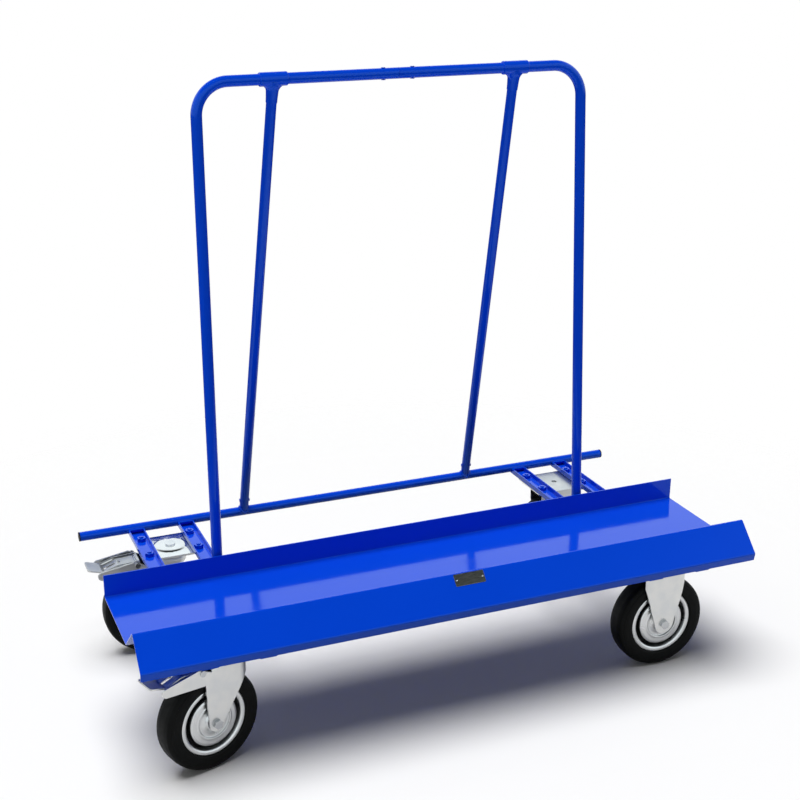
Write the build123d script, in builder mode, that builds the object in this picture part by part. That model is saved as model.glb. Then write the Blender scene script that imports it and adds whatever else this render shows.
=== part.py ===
from build123d import *
import os
from collections import namedtuple
from math import cos, radians, sin

# Panel trolley: a folded steel tray on four castors, with a tubular bow for boards to lean on.
# Millimetres. X runs along the tray, -Y is the apron side, +Z is up, and the floor is z = 0.
# The origin is on the floor, under the middle of the trolley.

os.makedirs("parts", exist_ok=True)

# Castors
wheel_diameter = 200.0
wheel_width = 50.0
caster_height = 232.0
caster_plate_length = 135.0
caster_plate_width = 110.0
caster_plate_sheet = 4.0
caster_plate_corner = 8.0
bolt_spacing_long = 105.0
bolt_spacing_short = 80.0
caster_reach_left = 460.0
caster_reach_right = 462.0
caster_front_y = -239.7
caster_rear_y = 222.3
front_swivel_angle = 18.0
rear_swivel_angle = 0.0
swivel_trail = 52.0

# Tray
tray_length = 1280.0
tray_sheet = 2.5
bend_inner_radius = 3.0
lip_face_y = 2.3
lip_height = 47.0
lip_lean = 1.6
deck_width = 198.0
ridge_rise = 59.5
ridge_run = 73.6
apron_drop = 56.0
apron_run = 54.1
strip_drop = 16.0
strip_run = 3.7
strip_bend_radius = 5.0

# Frame
channel_width = 34.0
channel_depth = 13.0
channel_sheet = 2.5
channel_corner = 3.0
channel_spacing = 108.8
rear_tube_length = 1268.0
rear_tube_radius = 10.0
rear_tube_wall = 2.0
rear_tube_height = 244.0
weld_gap = 0.2
end_plug_head = 2.5
end_plug_stem = 14.0
plug_fit = 0.1

# Bow and braces
bow_tube_radius = 10.65
bow_tube_wall = 2.0
bow_height = 1214.6
left_leg_offset = 3.4
right_leg_offset = 1.4
bow_head_inset = 12.0
bow_foot_y = 19.3
bow_head_y = 52.3
bow_corner_radius = 62.0
bow_foot_lift = 0.6
bow_joint_gap = 0.5
joint_sleeve_length = 120.0
tube_slide_fit = 0.15
brace_radius = 10.0
brace_wall = 1.8
brace_head_reach = 249.0
brace_foot_reach = 271.0
brace_stub_length = 70.0
leg_stub_length = 62.0
collar_length = 55.0
collar_wall = 2.5
collar_stub_length = 46.0
collar_stub_radius = 12.0

# Fasteners
plate_bolt_sides = 12
plate_bolt_radius = 5.0
plate_bolt_hole = 5.5
plate_bolt_flats = 17.0
plate_bolt_head = 6.4
plate_nut_height = 8.0
plate_bolt_stand = 2.5
axle_bolt_radius = 5.0
axle_bolt_flats = 17.0
axle_bolt_head = 6.4
axle_nut_height = 8.0
axle_thread_end = 3.0
axle_hole_fit = 0.1
frame_bolt_radius = 2.5
frame_bolt_flats = 8.0
frame_bolt_head = 3.0
frame_bolt_fit = 0.2
frame_bolt_seat = 0.3
foot_bolt_lift = 30.0
joint_bolt_offset = 30.0

# Wheel
tread_half_width = 17.0
shoulder_drop = 11.0
rim_radius = 69.0
rim_half_width = 22.0
rim_ring_radius = 60.0
rim_well_half_width = 8.0
disc_radius = 50.0
disc_half_width = 16.0
hub_radius = 20.0
hub_half_width = 27.0
bearing_radius = 15.0
axle_sleeve_radius = 10.0
bearing_running_fit = 0.05
bearing_end_gap = 0.3

# Forks
fork_width = 66.0
fork_sheet = 4.0
fork_shoulder = 9.0
fork_inner_chamfer = 3.0
crown_top = 218.0
crown_rear_reach = 58.0
crown_nose_drop = 12.0
leg_front_reach = 18.0
leg_front_top = 200.0
leg_front_low = 183.0
leg_rear_reach = 72.0
leg_end_radius = 15.8
wing_notch_height = 186.0
wing_peak_reach = 85.0
wing_peak_height = 221.0
wing_tip_reach = 152.0
wing_tip_height = 201.0
wing_tip_radius = 9.0
fixed_crown_reach = 40.0
fixed_crown_depth = 9.0
fixed_leg_reach = 53.5
fixed_leg_top = 210.0
fixed_leg_end_radius = 21.5
fixed_leg_bend = 20.0
fixed_wheel_opening = 56.0

# Swivel head
dome_rise = 3.0
dome_flat_radius = 30.0
dome_foot_radius = 38.0
kingpin_radius = 6.0
kingpin_fit = 0.1
kingpin_head_radius = 11.0
kingpin_head_height = 3.0
kingpin_foot_radius = 10.0
kingpin_foot_height = 5.0
lower_race_radius = 24.0
lower_race_height = 8.0
ball_ring_inner = 23.0
ball_ring_outer = 29.0
moving_gap = 0.3

# Brake
brake_angle = 12.0
pedal_width = 50.0
pedal_sheet = 3.0
pedal_pivot_reach = 77.0
pedal_pivot_height = 213.0
pedal_pin_radius = 4.0
pedal_pin_fit = 0.05
pedal_pin_head_radius = 6.0
pedal_pin_head = 2.0
pedal_top = 219.0
pedal_nose_reach = 71.0
pedal_knee_reach = 118.0
pedal_knee_height = 217.0
pedal_cheek_depth = 13.0
pedal_cheek_end_depth = 9.0
pedal_step_reach = 152.0
pedal_step_height = 206.0
pedal_tab_reach = 178.9
pedal_tab_height = 215.5
pedal_rivet_reach = 94.0
pedal_rivet_radius = 4.0
pedal_rivet_head = 2.0
pedal_slot_length = 26.0
pedal_slot_width = 6.0
pedal_slot_reach = 134.0
shoe_width = 30.0
shoe_front_reach = 94.0
shoe_rear_reach = 116.0

cut_overrun = 5.0

# Heights that the stack of pieces gives
wheel_radius = wheel_diameter / 2
plate_under = caster_height - caster_plate_sheet
web_top = caster_height + channel_sheet
channel_top = caster_height + channel_depth
deck_top = channel_top + tray_sheet

# Corners of the tray's visible face, from the lip's top edge to the strip's foot: (y, z)
lip_top = (lip_face_y - lip_lean, deck_top + lip_height)
lip_fold = (lip_face_y, deck_top)
deck_fold = (lip_face_y - deck_width, deck_top)
ridge = (deck_fold[0] - ridge_run, deck_top + ridge_rise)
apron_fold = (ridge[0] - apron_run, ridge[1] - apron_drop)
strip_foot = (apron_fold[0] + strip_run, apron_fold[1] - strip_drop)
bend_outer_radius = bend_inner_radius + tray_sheet


def reach_of_rounded_corner(before, corner, after, radius):
    """Lowest first coordinate of a corner once it is rounded to the radius."""
    to_before = (Vector(*before) - Vector(*corner)).normalized()
    to_after = (Vector(*after) - Vector(*corner)).normalized()
    middle = (to_before + to_after).normalized()
    half_angle = radians(to_before.get_angle(to_after) / 2)
    centre = Vector(*corner) + middle * (radius / sin(half_angle))
    return centre.X - radius


# The rear tube lies as far behind the origin as the apron's fold stands in front of it
half_depth = -reach_of_rounded_corner(ridge, apron_fold, strip_foot, strip_bend_radius)
rear_tube_y = half_depth - rear_tube_radius

# Each leg stands beside the middle of its inner channel, keyed by the sign of its side
inner_channel_x = {
    -1: channel_spacing / 2 - caster_reach_left,
    1: caster_reach_right - channel_spacing / 2,
}
leg_foot_x = {
    -1: inner_channel_x[-1] - left_leg_offset,
    1: inner_channel_x[1] + right_leg_offset,
}

Caster = namedtuple("Caster", "name x y turn trail")
front_left = Caster("front_left", -caster_reach_left, caster_front_y, front_swivel_angle, swivel_trail)
rear_left = Caster("rear_left", -caster_reach_left, caster_rear_y, rear_swivel_angle, swivel_trail)
front_right = Caster("front_right", caster_reach_right, caster_front_y, 0, 0)
rear_right = Caster("rear_right", caster_reach_right, caster_rear_y, 0, 0)
swivel_casters = [front_left, rear_left]
fixed_casters = [front_right, rear_right]
all_casters = swivel_casters + fixed_casters


def save(piece, name):
    """Labels a finished piece and writes it."""
    piece.part.label = name
    export_step(piece.part, f"parts/{name}.step")


def save_group(pieces, name):
    """Writes several loose pieces as one group."""
    with BuildPart() as group:
        for piece in pieces:
            add(piece.part)
    save(group, name)


def rolling_way(caster):
    """The way that the castor rolls, away from its pedal."""
    return Vector(cos(radians(caster.turn)), sin(radians(caster.turn)), 0)


def axle_way(caster):
    """The way along the castor's axle, towards the back of the trolley at no turn."""
    return Vector(-sin(radians(caster.turn)), cos(radians(caster.turn)), 0)


def level_plane(caster, height):
    """Level plane on the swivel axis: x along the rolling way, y along the axle."""
    return Plane(origin=(caster.x, caster.y, height), x_dir=rolling_way(caster), z_dir=(0, 0, 1))


def side_plane(caster, across=0):
    """Upright plane along the rolling way, so many millimetres along the axle; y is height."""
    origin = Vector(caster.x, caster.y, 0) + axle_way(caster) * across
    return Plane(origin=origin, x_dir=rolling_way(caster), z_dir=-axle_way(caster))


def wheel_plane(caster):
    """Upright plane through the axle: x along the axle, y up, with its origin at the hub."""
    origin = Vector(caster.x, caster.y, wheel_radius) - rolling_way(caster) * caster.trail
    return Plane(origin=origin, x_dir=axle_way(caster), z_dir=rolling_way(caster))


def turn_section(plane, points):
    """Revolves a closed section, given as (along, radius) points, about the plane's x axis."""
    with BuildPart() as turned:
        with BuildSketch(plane):
            with BuildLine():
                Polyline(*points, close=True)
            make_face()
        revolve(axis=Axis(plane.origin, plane.x_dir))
    return turned


def turn_upright(caster, points):
    """Revolves a closed section of (radius, height) points about the castor's swivel axis."""
    with BuildPart() as turned:
        with BuildSketch(Plane(origin=(caster.x, caster.y, 0), x_dir=(1, 0, 0), z_dir=(0, -1, 0))):
            with BuildLine():
                Polyline(*points, close=True)
            make_face()
        revolve(axis=Axis((caster.x, caster.y, 0), (0, 0, 1)))
    return turned


# Tray
with BuildPart() as tray:
    with BuildSketch(Plane.YZ.offset(-tray_length / 2)):
        with BuildLine():
            FilletPolyline(
                lip_top, lip_fold, deck_fold, ridge, apron_fold, strip_foot,
                radius=[bend_inner_radius, bend_inner_radius, bend_outer_radius, strip_bend_radius],
            )
            offset(amount=tray_sheet, side=Side.LEFT)
        make_face()
    extrude(amount=tray_length)
save(tray, "tray")

# Bow: each half runs from a foot in an inner channel, round a corner, to the middle of the top bar
bow_rise = bow_height - web_top - bow_foot_lift
bow_lean = Vector(0, bow_head_y - bow_foot_y, bow_rise)
bow_origin = Vector(0, bow_foot_y, web_top + bow_foot_lift)
bow_plane = Plane(origin=bow_origin, x_dir=(1, 0, 0), z_dir=Vector(1, 0, 0).cross(bow_lean))
bow_inner_radius = bow_tube_radius - bow_tube_wall

# The cross bolts pass through square punched holes
frame_bolt_slot = 2 * (frame_bolt_radius + frame_bolt_fit)


def leg_axis(side):
    """Foot and upward direction of the leg on one side, -1 for left and 1 for right."""
    foot = bow_origin + Vector(leg_foot_x[side], 0, 0)
    head = foot + bow_lean - Vector(side * bow_head_inset, 0, 0)
    return foot, (head - foot).normalized()


def make_bow_half(side):
    corner = (leg_foot_x[side] - side * bow_head_inset, bow_lean.length)
    with BuildPart() as half:
        with BuildLine(bow_plane) as path:
            FilletPolyline(
                (leg_foot_x[side], 0), corner, (side * bow_joint_gap / 2, bow_lean.length),
                radius=bow_corner_radius,
            )
        with BuildSketch(Plane(origin=path.line @ 0, z_dir=path.line % 0)):
            Circle(bow_tube_radius)
            Circle(bow_inner_radius, mode=Mode.SUBTRACT)
        sweep(path=path.line)
        foot, up = leg_axis(side)
        with BuildSketch(Plane(origin=foot + up * foot_bolt_lift, x_dir=(1, 0, 0), z_dir=(0, 1, 0))):
            Rectangle(frame_bolt_slot, frame_bolt_slot)
        extrude(amount=2 * bow_tube_radius, both=True, mode=Mode.SUBTRACT)
        with BuildSketch(bow_plane):
            with Locations((side * joint_bolt_offset, bow_lean.length)):
                Rectangle(frame_bolt_slot, 2 * bow_tube_radius + cut_overrun)
        extrude(amount=frame_bolt_slot / 2, both=True, mode=Mode.SUBTRACT)
    return half


bow_left = make_bow_half(-1)
bow_right = make_bow_half(1)
save(bow_left, "bow_left")
save(bow_right, "bow_right")

bar_centre = bow_origin + bow_lean
up_the_bow = bow_lean.normalized()
joint_sleeve_radius = bow_inner_radius - tube_slide_fit
with BuildPart() as bow_joint_sleeve:
    with BuildSketch(Plane(origin=bar_centre, x_dir=(0, 1, 0), z_dir=(1, 0, 0))):
        Circle(joint_sleeve_radius)
        Circle(joint_sleeve_radius - bow_tube_wall, mode=Mode.SUBTRACT)
    extrude(amount=joint_sleeve_length / 2, both=True)
    for side in (-1, 1):
        bolt_place = bar_centre + Vector(side * joint_bolt_offset, 0, 0)
        with BuildSketch(Plane(origin=bolt_place, x_dir=(1, 0, 0), z_dir=up_the_bow)):
            Rectangle(frame_bolt_slot, frame_bolt_slot)
        extrude(amount=2 * bow_tube_radius, both=True, mode=Mode.SUBTRACT)
save(bow_joint_sleeve, "bow_joint_sleeve")


def make_cross_bolt(centre, way, tube_radius):
    """A hexagon bolt and its nut, on a shank that runs across a tube."""
    seat = tube_radius + frame_bolt_seat
    with BuildPart() as bolt:
        with BuildSketch(Plane(origin=centre, z_dir=way)):
            Circle(frame_bolt_radius)
        extrude(amount=seat + frame_bolt_head, both=True)
        for end in (-1, 1):
            with BuildSketch(Plane(origin=centre + way * (end * seat), z_dir=way * end)):
                RegularPolygon(radius=frame_bolt_flats / 2, side_count=6, major_radius=False)
            extrude(amount=frame_bolt_head)
    return bolt


joint_bolts = []
leg_bolts = []
for side in (-1, 1):
    joint_place = bar_centre + Vector(side * joint_bolt_offset, 0, 0)
    joint_bolts.append(make_cross_bolt(joint_place, up_the_bow, bow_tube_radius))
    foot, up = leg_axis(side)
    leg_bolts.append(make_cross_bolt(foot + up * foot_bolt_lift, Vector(0, 1, 0), bow_tube_radius))
save_group(joint_bolts, "bow_joint_bolts")
save_group(leg_bolts, "leg_foot_bolts")

# Braces run from the rear tube up to collars on the top bar
brace_inner_radius = brace_radius - brace_wall


def brace_axis(side):
    """Centre of the rear tube below a brace, the way up the brace, and its length to the bar."""
    foot = Vector(side * brace_foot_reach, rear_tube_y, rear_tube_height)
    head = Vector(side * brace_head_reach, bow_head_y, bow_height)
    return foot, (head - foot).normalized(), (head - foot).length


collar_radius = bow_tube_radius + collar_wall


def make_brace(side):
    foot, up, length = brace_axis(side)
    with BuildPart() as brace:
        with BuildSketch(Plane(origin=foot, z_dir=up)):
            Circle(brace_radius)
            Circle(brace_inner_radius, mode=Mode.SUBTRACT)
        extrude(amount=length)
        with BuildSketch(Plane(origin=foot, x_dir=(0, 1, 0), z_dir=(1, 0, 0))):
            Circle(rear_tube_radius + weld_gap)
        extrude(amount=collar_length, both=True, mode=Mode.SUBTRACT)
        with BuildSketch(Plane(origin=foot + up * length, x_dir=(0, 1, 0), z_dir=(1, 0, 0))):
            Circle(collar_radius + weld_gap)
        extrude(amount=collar_length, both=True, mode=Mode.SUBTRACT)
        with BuildSketch(Plane(origin=foot + up * foot_bolt_lift, x_dir=(0, 1, 0), z_dir=(1, 0, 0))):
            Rectangle(frame_bolt_slot, frame_bolt_slot)
        extrude(amount=2 * brace_radius, both=True, mode=Mode.SUBTRACT)
    return brace


def make_brace_collar(side):
    foot, up, length = brace_axis(side)
    head = foot + up * length
    with BuildPart() as collar:
        with BuildSketch(Plane(origin=head, z_dir=-up)):
            Circle(collar_stub_radius)
        extrude(amount=collar_stub_length)
        with BuildSketch(Plane(origin=head, z_dir=-up)):
            Circle(brace_radius + tube_slide_fit)
        extrude(amount=collar_stub_length + cut_overrun, mode=Mode.SUBTRACT)
        bar_plane = Plane(origin=head, x_dir=(0, 1, 0), z_dir=(1, 0, 0))
        with BuildSketch(bar_plane):
            Circle(collar_radius)
        extrude(amount=collar_length / 2, both=True)
        with BuildSketch(bar_plane):
            Circle(bow_tube_radius + tube_slide_fit)
        extrude(amount=collar_length, both=True, mode=Mode.SUBTRACT)
    return collar


for side, side_name in ((-1, "left"), (1, "right")):
    save(make_brace(side), f"brace_{side_name}")
    save(make_brace_collar(side), f"brace_collar_{side_name}")

brace_bolts = []
for side in (-1, 1):
    foot, up, length = brace_axis(side)
    brace_bolts.append(make_cross_bolt(foot + up * foot_bolt_lift, Vector(1, 0, 0), brace_radius))
save_group(brace_bolts, "brace_foot_bolts")

# Rear tube with the stubs that the braces slide over
with BuildPart() as rear_tube:
    with BuildSketch(Plane.YZ.offset(-rear_tube_length / 2)):
        with Locations((rear_tube_y, rear_tube_height)):
            Circle(rear_tube_radius)
    extrude(amount=rear_tube_length)
    for side in (-1, 1):
        foot, up, length = brace_axis(side)
        with BuildSketch(Plane(origin=foot, z_dir=up)):
            Circle(brace_inner_radius - tube_slide_fit)
        extrude(amount=brace_stub_length)
        with BuildSketch(Plane(origin=foot + up * foot_bolt_lift, x_dir=(0, 1, 0), z_dir=(1, 0, 0))):
            Rectangle(frame_bolt_slot, frame_bolt_slot)
        extrude(amount=2 * brace_radius, both=True, mode=Mode.SUBTRACT)
    with BuildSketch(Plane.YZ.offset(-rear_tube_length / 2)):
        with Locations((rear_tube_y, rear_tube_height)):
            Circle(rear_tube_radius - rear_tube_wall)
    extrude(amount=rear_tube_length, mode=Mode.SUBTRACT)
save(rear_tube, "rear_tube")

with BuildPart() as rear_tube_plugs:
    for side in (-1, 1):
        tube_end = Plane(
            origin=(side * rear_tube_length / 2, rear_tube_y, rear_tube_height), z_dir=(side, 0, 0)
        )
        with BuildSketch(tube_end):
            Circle(rear_tube_radius)
        extrude(amount=end_plug_head)
        with BuildSketch(tube_end):
            Circle(rear_tube_radius - rear_tube_wall - plug_fit)
        extrude(amount=-end_plug_stem)
save(rear_tube_plugs, "rear_tube_plugs")

# Cross channels: flanges up, from the strip's inner face to the rear tube
channel_front_y = strip_foot[0] + tray_sheet + weld_gap


def make_channel(name, x, bolt_x, leg_side):
    """One cross channel; leg_side is -1 or 1 where it carries a leg's spigot, else 0."""
    with BuildPart() as channel:
        with BuildSketch(Plane.XZ.offset(-rear_tube_y)):
            with Locations((x, caster_height + channel_depth / 2)):
                Rectangle(channel_width, channel_depth)
            with Locations((x, web_top + channel_depth / 2)):
                Rectangle(channel_width - 2 * channel_sheet, channel_depth, mode=Mode.SUBTRACT)
        extrude(amount=rear_tube_y - channel_front_y)
        fold_edges = channel.edges().filter_by(Axis.Y).group_by(Axis.Z)[0]
        fillet(fold_edges, channel_corner)
        if leg_side:
            foot, up = leg_axis(leg_side)
            with BuildSketch(Plane(origin=foot - up * channel_sheet, z_dir=up)):
                Circle(bow_inner_radius - tube_slide_fit)
            extrude(amount=leg_stub_length)
            with BuildSketch(Plane(origin=foot + up * foot_bolt_lift, x_dir=(1, 0, 0), z_dir=(0, 1, 0))):
                Rectangle(frame_bolt_slot, frame_bolt_slot)
            extrude(amount=2 * bow_tube_radius, both=True, mode=Mode.SUBTRACT)
        with BuildSketch(Plane.YZ.offset(x)):
            with Locations((rear_tube_y, rear_tube_height)):
                Circle(rear_tube_radius + weld_gap)
        extrude(amount=channel_width, both=True, mode=Mode.SUBTRACT)
        with BuildSketch(Plane.XY.offset(caster_height)):
            for caster_y in (caster_front_y, caster_rear_y):
                with Locations((bolt_x, caster_y)):
                    with GridLocations(0, bolt_spacing_short, 1, 2):
                        RegularPolygon(radius=plate_bolt_hole, side_count=plate_bolt_sides)
        extrude(amount=channel_sheet, mode=Mode.SUBTRACT)
    save(channel, name)


for end_name, middle, away in (("left", -caster_reach_left, -1), ("right", caster_reach_right, 1)):
    outer_x = middle + away * channel_spacing / 2
    outer_bolt = middle + away * bolt_spacing_long / 2
    inner_bolt = middle - away * bolt_spacing_long / 2
    make_channel(f"channel_outer_{end_name}", outer_x, outer_bolt, 0)
    make_channel(f"channel_inner_{end_name}", inner_channel_x[away], inner_bolt, away)

# Castor bolts from below and their nuts on the channel webs
with BuildPart() as caster_bolts:
    for caster in all_casters:
        with BuildSketch(Plane.XY.offset(plate_under)):
            with Locations((caster.x, caster.y)):
                with GridLocations(bolt_spacing_long, bolt_spacing_short, 2, 2):
                    RegularPolygon(radius=plate_bolt_flats / 2, side_count=6, major_radius=False)
        extrude(amount=-plate_bolt_head)
        with BuildSketch(Plane.XY.offset(plate_under)):
            with Locations((caster.x, caster.y)):
                with GridLocations(bolt_spacing_long, bolt_spacing_short, 2, 2):
                    RegularPolygon(radius=plate_bolt_radius, side_count=plate_bolt_sides)
        extrude(amount=web_top + plate_nut_height + plate_bolt_stand - plate_under)
save(caster_bolts, "caster_bolts")

with BuildPart() as caster_nuts:
    for caster in all_casters:
        with BuildSketch(Plane.XY.offset(web_top)):
            with Locations((caster.x, caster.y)):
                with GridLocations(bolt_spacing_long, bolt_spacing_short, 2, 2):
                    RegularPolygon(radius=plate_bolt_flats / 2, side_count=6, major_radius=False)
                    RegularPolygon(radius=plate_bolt_radius, side_count=plate_bolt_sides, mode=Mode.SUBTRACT)
        extrude(amount=plate_nut_height)
save(caster_nuts, "caster_nuts")


def make_plate(caster, hole_radius):
    """A castor's flat top plate, with its bolt holes and a round middle hole."""
    with BuildPart() as plate:
        with BuildSketch(Plane.XY.offset(plate_under)):
            with Locations((caster.x, caster.y)):
                RectangleRounded(caster_plate_length, caster_plate_width, caster_plate_corner)
                with GridLocations(bolt_spacing_long, bolt_spacing_short, 2, 2):
                    RegularPolygon(radius=plate_bolt_hole, side_count=plate_bolt_sides, mode=Mode.SUBTRACT)
                Circle(hole_radius, mode=Mode.SUBTRACT)
        extrude(amount=caster_plate_sheet)
    return plate


save_group([make_plate(caster, kingpin_radius) for caster in fixed_casters], "fixed_plates")

# Swivel head: a domed plate, the ball ring under it, a kingpin and the lower race
dome_top = caster_height + dome_rise
dome_under = plate_under + dome_rise
dome_section = (
    (kingpin_radius + kingpin_fit, dome_top), (dome_flat_radius, dome_top),
    (dome_foot_radius, caster_height), (dome_foot_radius, plate_under),
    (dome_flat_radius, dome_under), (kingpin_radius + kingpin_fit, dome_under),
)


def make_swivel_plate(caster):
    """A top plate pressed up to a dome round the kingpin, which houses the upper ball race."""
    flat = make_plate(caster, dome_foot_radius)
    dome = turn_upright(caster, dome_section)
    with BuildPart() as plate:
        add(flat.part)
        add(dome.part)
    return plate


save_group([make_swivel_plate(caster) for caster in swivel_casters], "swivel_plates")

crown_under = crown_top - fork_sheet
lower_race_foot = crown_under - moving_gap - lower_race_height
with BuildPart() as kingpins:
    for caster in swivel_casters:
        for start, amount, radius in (
            (lower_race_foot, dome_top - lower_race_foot, kingpin_radius),
            (dome_top, kingpin_head_height, kingpin_head_radius),
            (lower_race_foot, -kingpin_foot_height, kingpin_foot_radius),
        ):
            with BuildSketch(Plane.XY.offset(start)):
                with Locations((caster.x, caster.y)):
                    Circle(radius)
            extrude(amount=amount)
save(kingpins, "kingpins")

with BuildPart() as lower_races:
    with BuildSketch(Plane.XY.offset(lower_race_foot)):
        for caster in swivel_casters:
            with Locations((caster.x, caster.y)):
                Circle(lower_race_radius)
                Circle(kingpin_radius + kingpin_fit, mode=Mode.SUBTRACT)
    extrude(amount=lower_race_height)
save(lower_races, "lower_races")

fork_half = fork_width / 2
fork_inner_half = fork_half - fork_sheet
hood_reach = leg_rear_reach + 2 * fork_shoulder
pivot = (-pedal_pivot_reach, pedal_pivot_height)


def make_hood(caster, half, top):
    """Solid hood of a swivel fork: straight sides and a round nose."""
    rise = top - (wheel_radius - leg_end_radius)
    with BuildPart() as hood:
        with BuildSketch(level_plane(caster, top - rise)):
            Circle(half)
            with Locations((-hood_reach / 2, 0)):
                Rectangle(hood_reach, 2 * half)
        extrude(amount=rise)
    return hood


def top_edges(hood):
    """Edges round the top of a hood."""
    return hood.faces().sort_by(Axis.Z)[-1].edges()


def make_swivel_fork(caster):
    shell = make_hood(caster, fork_half, crown_top)
    core = make_hood(caster, fork_inner_half, crown_under)
    rolled = fillet(top_edges(shell.part), fork_shoulder)
    relieved = chamfer(top_edges(core.part), fork_inner_chamfer)
    with BuildPart() as fork:
        add(rolled)
        add(relieved, mode=Mode.SUBTRACT)
        # Side view of crown and legs, from the crown's rear edge round to the notch
        with BuildSketch(side_plane(caster)):
            with BuildLine():
                Polyline(
                    (-crown_rear_reach, crown_top), (fork_half, crown_top),
                    (fork_half, crown_top - crown_nose_drop), (leg_front_reach, leg_front_top),
                    (leg_front_reach, leg_front_low), (leg_end_radius - swivel_trail, wheel_radius),
                    (-leg_end_radius - swivel_trail, wheel_radius), (-leg_rear_reach, wing_notch_height),
                    (-leg_rear_reach, crown_top - fork_shoulder),
                    (-crown_rear_reach, crown_top - fork_shoulder),
                    close=True,
                )
            make_face()
            with Locations((-swivel_trail, wheel_radius)):
                Circle(leg_end_radius)
        extrude(amount=fork_width, both=True, mode=Mode.INTERSECT)
        # Brake wings, one on each leg
        for wing_face in (fork_half, -fork_inner_half):
            with BuildSketch(side_plane(caster, wing_face)):
                with BuildLine():
                    Polyline(
                        (-crown_rear_reach, crown_top - fork_shoulder), (-wing_peak_reach, wing_peak_height),
                        (-wing_tip_reach, wing_tip_height + wing_tip_radius),
                        (-wing_tip_reach, wing_tip_height - wing_tip_radius),
                        (-leg_rear_reach, wing_notch_height), (-crown_rear_reach, wing_notch_height),
                        close=True,
                    )
                make_face()
                with Locations((-wing_tip_reach, wing_tip_height)):
                    Circle(wing_tip_radius)
            extrude(amount=fork_sheet)
        for place, radius in (
            ((-swivel_trail, wheel_radius), axle_bolt_radius + axle_hole_fit),
            (pivot, pedal_pin_radius + pedal_pin_fit),
        ):
            with BuildSketch(side_plane(caster)):
                with Locations(place):
                    Circle(radius)
            extrude(amount=fork_width, both=True, mode=Mode.SUBTRACT)
        with BuildSketch(level_plane(caster, crown_under)):
            Circle(kingpin_radius + pedal_pin_fit)
        extrude(amount=fork_sheet, mode=Mode.SUBTRACT)
    return fork


def make_pedal(caster):
    """A brake pedal: one folded sheet from its nose to the treadle tab, and a cheek on each side."""
    nose = (-pedal_nose_reach, pedal_top)
    knee = (-pedal_knee_reach, pedal_knee_height)
    with BuildPart() as pedal:
        with BuildSketch(side_plane(caster)):
            with BuildLine():
                Polyline(
                    nose, knee, (-pedal_step_reach, pedal_step_height), (-pedal_tab_reach, pedal_tab_height)
                )
                offset(amount=pedal_sheet, side=Side.LEFT)
            make_face()
        extrude(amount=pedal_width / 2, both=True)
        for cheek_face in (pedal_width / 2, pedal_sheet - pedal_width / 2):
            with BuildSketch(side_plane(caster, cheek_face)):
                with BuildLine():
                    Polyline(
                        nose, knee, (-pedal_knee_reach, pedal_knee_height - pedal_cheek_end_depth),
                        (-pedal_nose_reach, pedal_top - pedal_cheek_depth),
                        close=True,
                    )
                make_face()
            extrude(amount=pedal_sheet)
        with BuildSketch(level_plane(caster, pedal_step_height - pedal_sheet)):
            with Locations((-pedal_slot_reach, 0)):
                SlotOverall(pedal_slot_length, pedal_slot_width)
        extrude(amount=pedal_top - pedal_step_height, mode=Mode.SUBTRACT)
        with BuildSketch(side_plane(caster)):
            with Locations(pivot):
                Circle(pedal_pin_radius + pedal_pin_fit)
        extrude(amount=pedal_width, both=True, mode=Mode.SUBTRACT)
        # Head of the rivet that holds the brake shoe
        with BuildSketch(level_plane(caster, pedal_knee_height)):
            with Locations((-pedal_rivet_reach, 0)):
                Circle(pedal_rivet_radius)
        extrude(amount=pedal_top + pedal_rivet_head - pedal_knee_height)
    return pedal


def make_pedal_pin(caster):
    with BuildPart() as pin:
        with BuildSketch(side_plane(caster)):
            with Locations(pivot):
                Circle(pedal_pin_radius)
        extrude(amount=fork_half + pedal_pin_head, both=True)
        for face, amount in ((fork_half, -pedal_pin_head), (-fork_half, pedal_pin_head)):
            with BuildSketch(side_plane(caster, face)):
                with Locations(pivot):
                    Circle(pedal_pin_head_radius)
            extrude(amount=amount)
    return pin


def make_brake_shoe(caster):
    """The shoe's face is the arc that meets the tread once the pedal is down."""
    turn = radians(brake_angle)
    across = pedal_pivot_reach - swivel_trail
    down = wheel_radius - pedal_pivot_height
    shoe_top = pedal_knee_height - pedal_sheet
    arc_centre = (
        -pedal_pivot_reach + across * cos(turn) + down * sin(turn),
        pedal_pivot_height - across * sin(turn) + down * cos(turn),
    )
    with BuildPart() as shoe:
        with BuildSketch(side_plane(caster)):
            with BuildLine():
                Polyline(
                    (-shoe_front_reach, shoe_top), (-shoe_rear_reach, shoe_top),
                    (-shoe_rear_reach, wheel_radius), (-shoe_front_reach, wheel_radius),
                    close=True,
                )
            make_face()
            with Locations(arc_centre):
                Circle(wheel_radius + moving_gap, mode=Mode.SUBTRACT)
        extrude(amount=shoe_width / 2, both=True)
    return shoe


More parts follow.
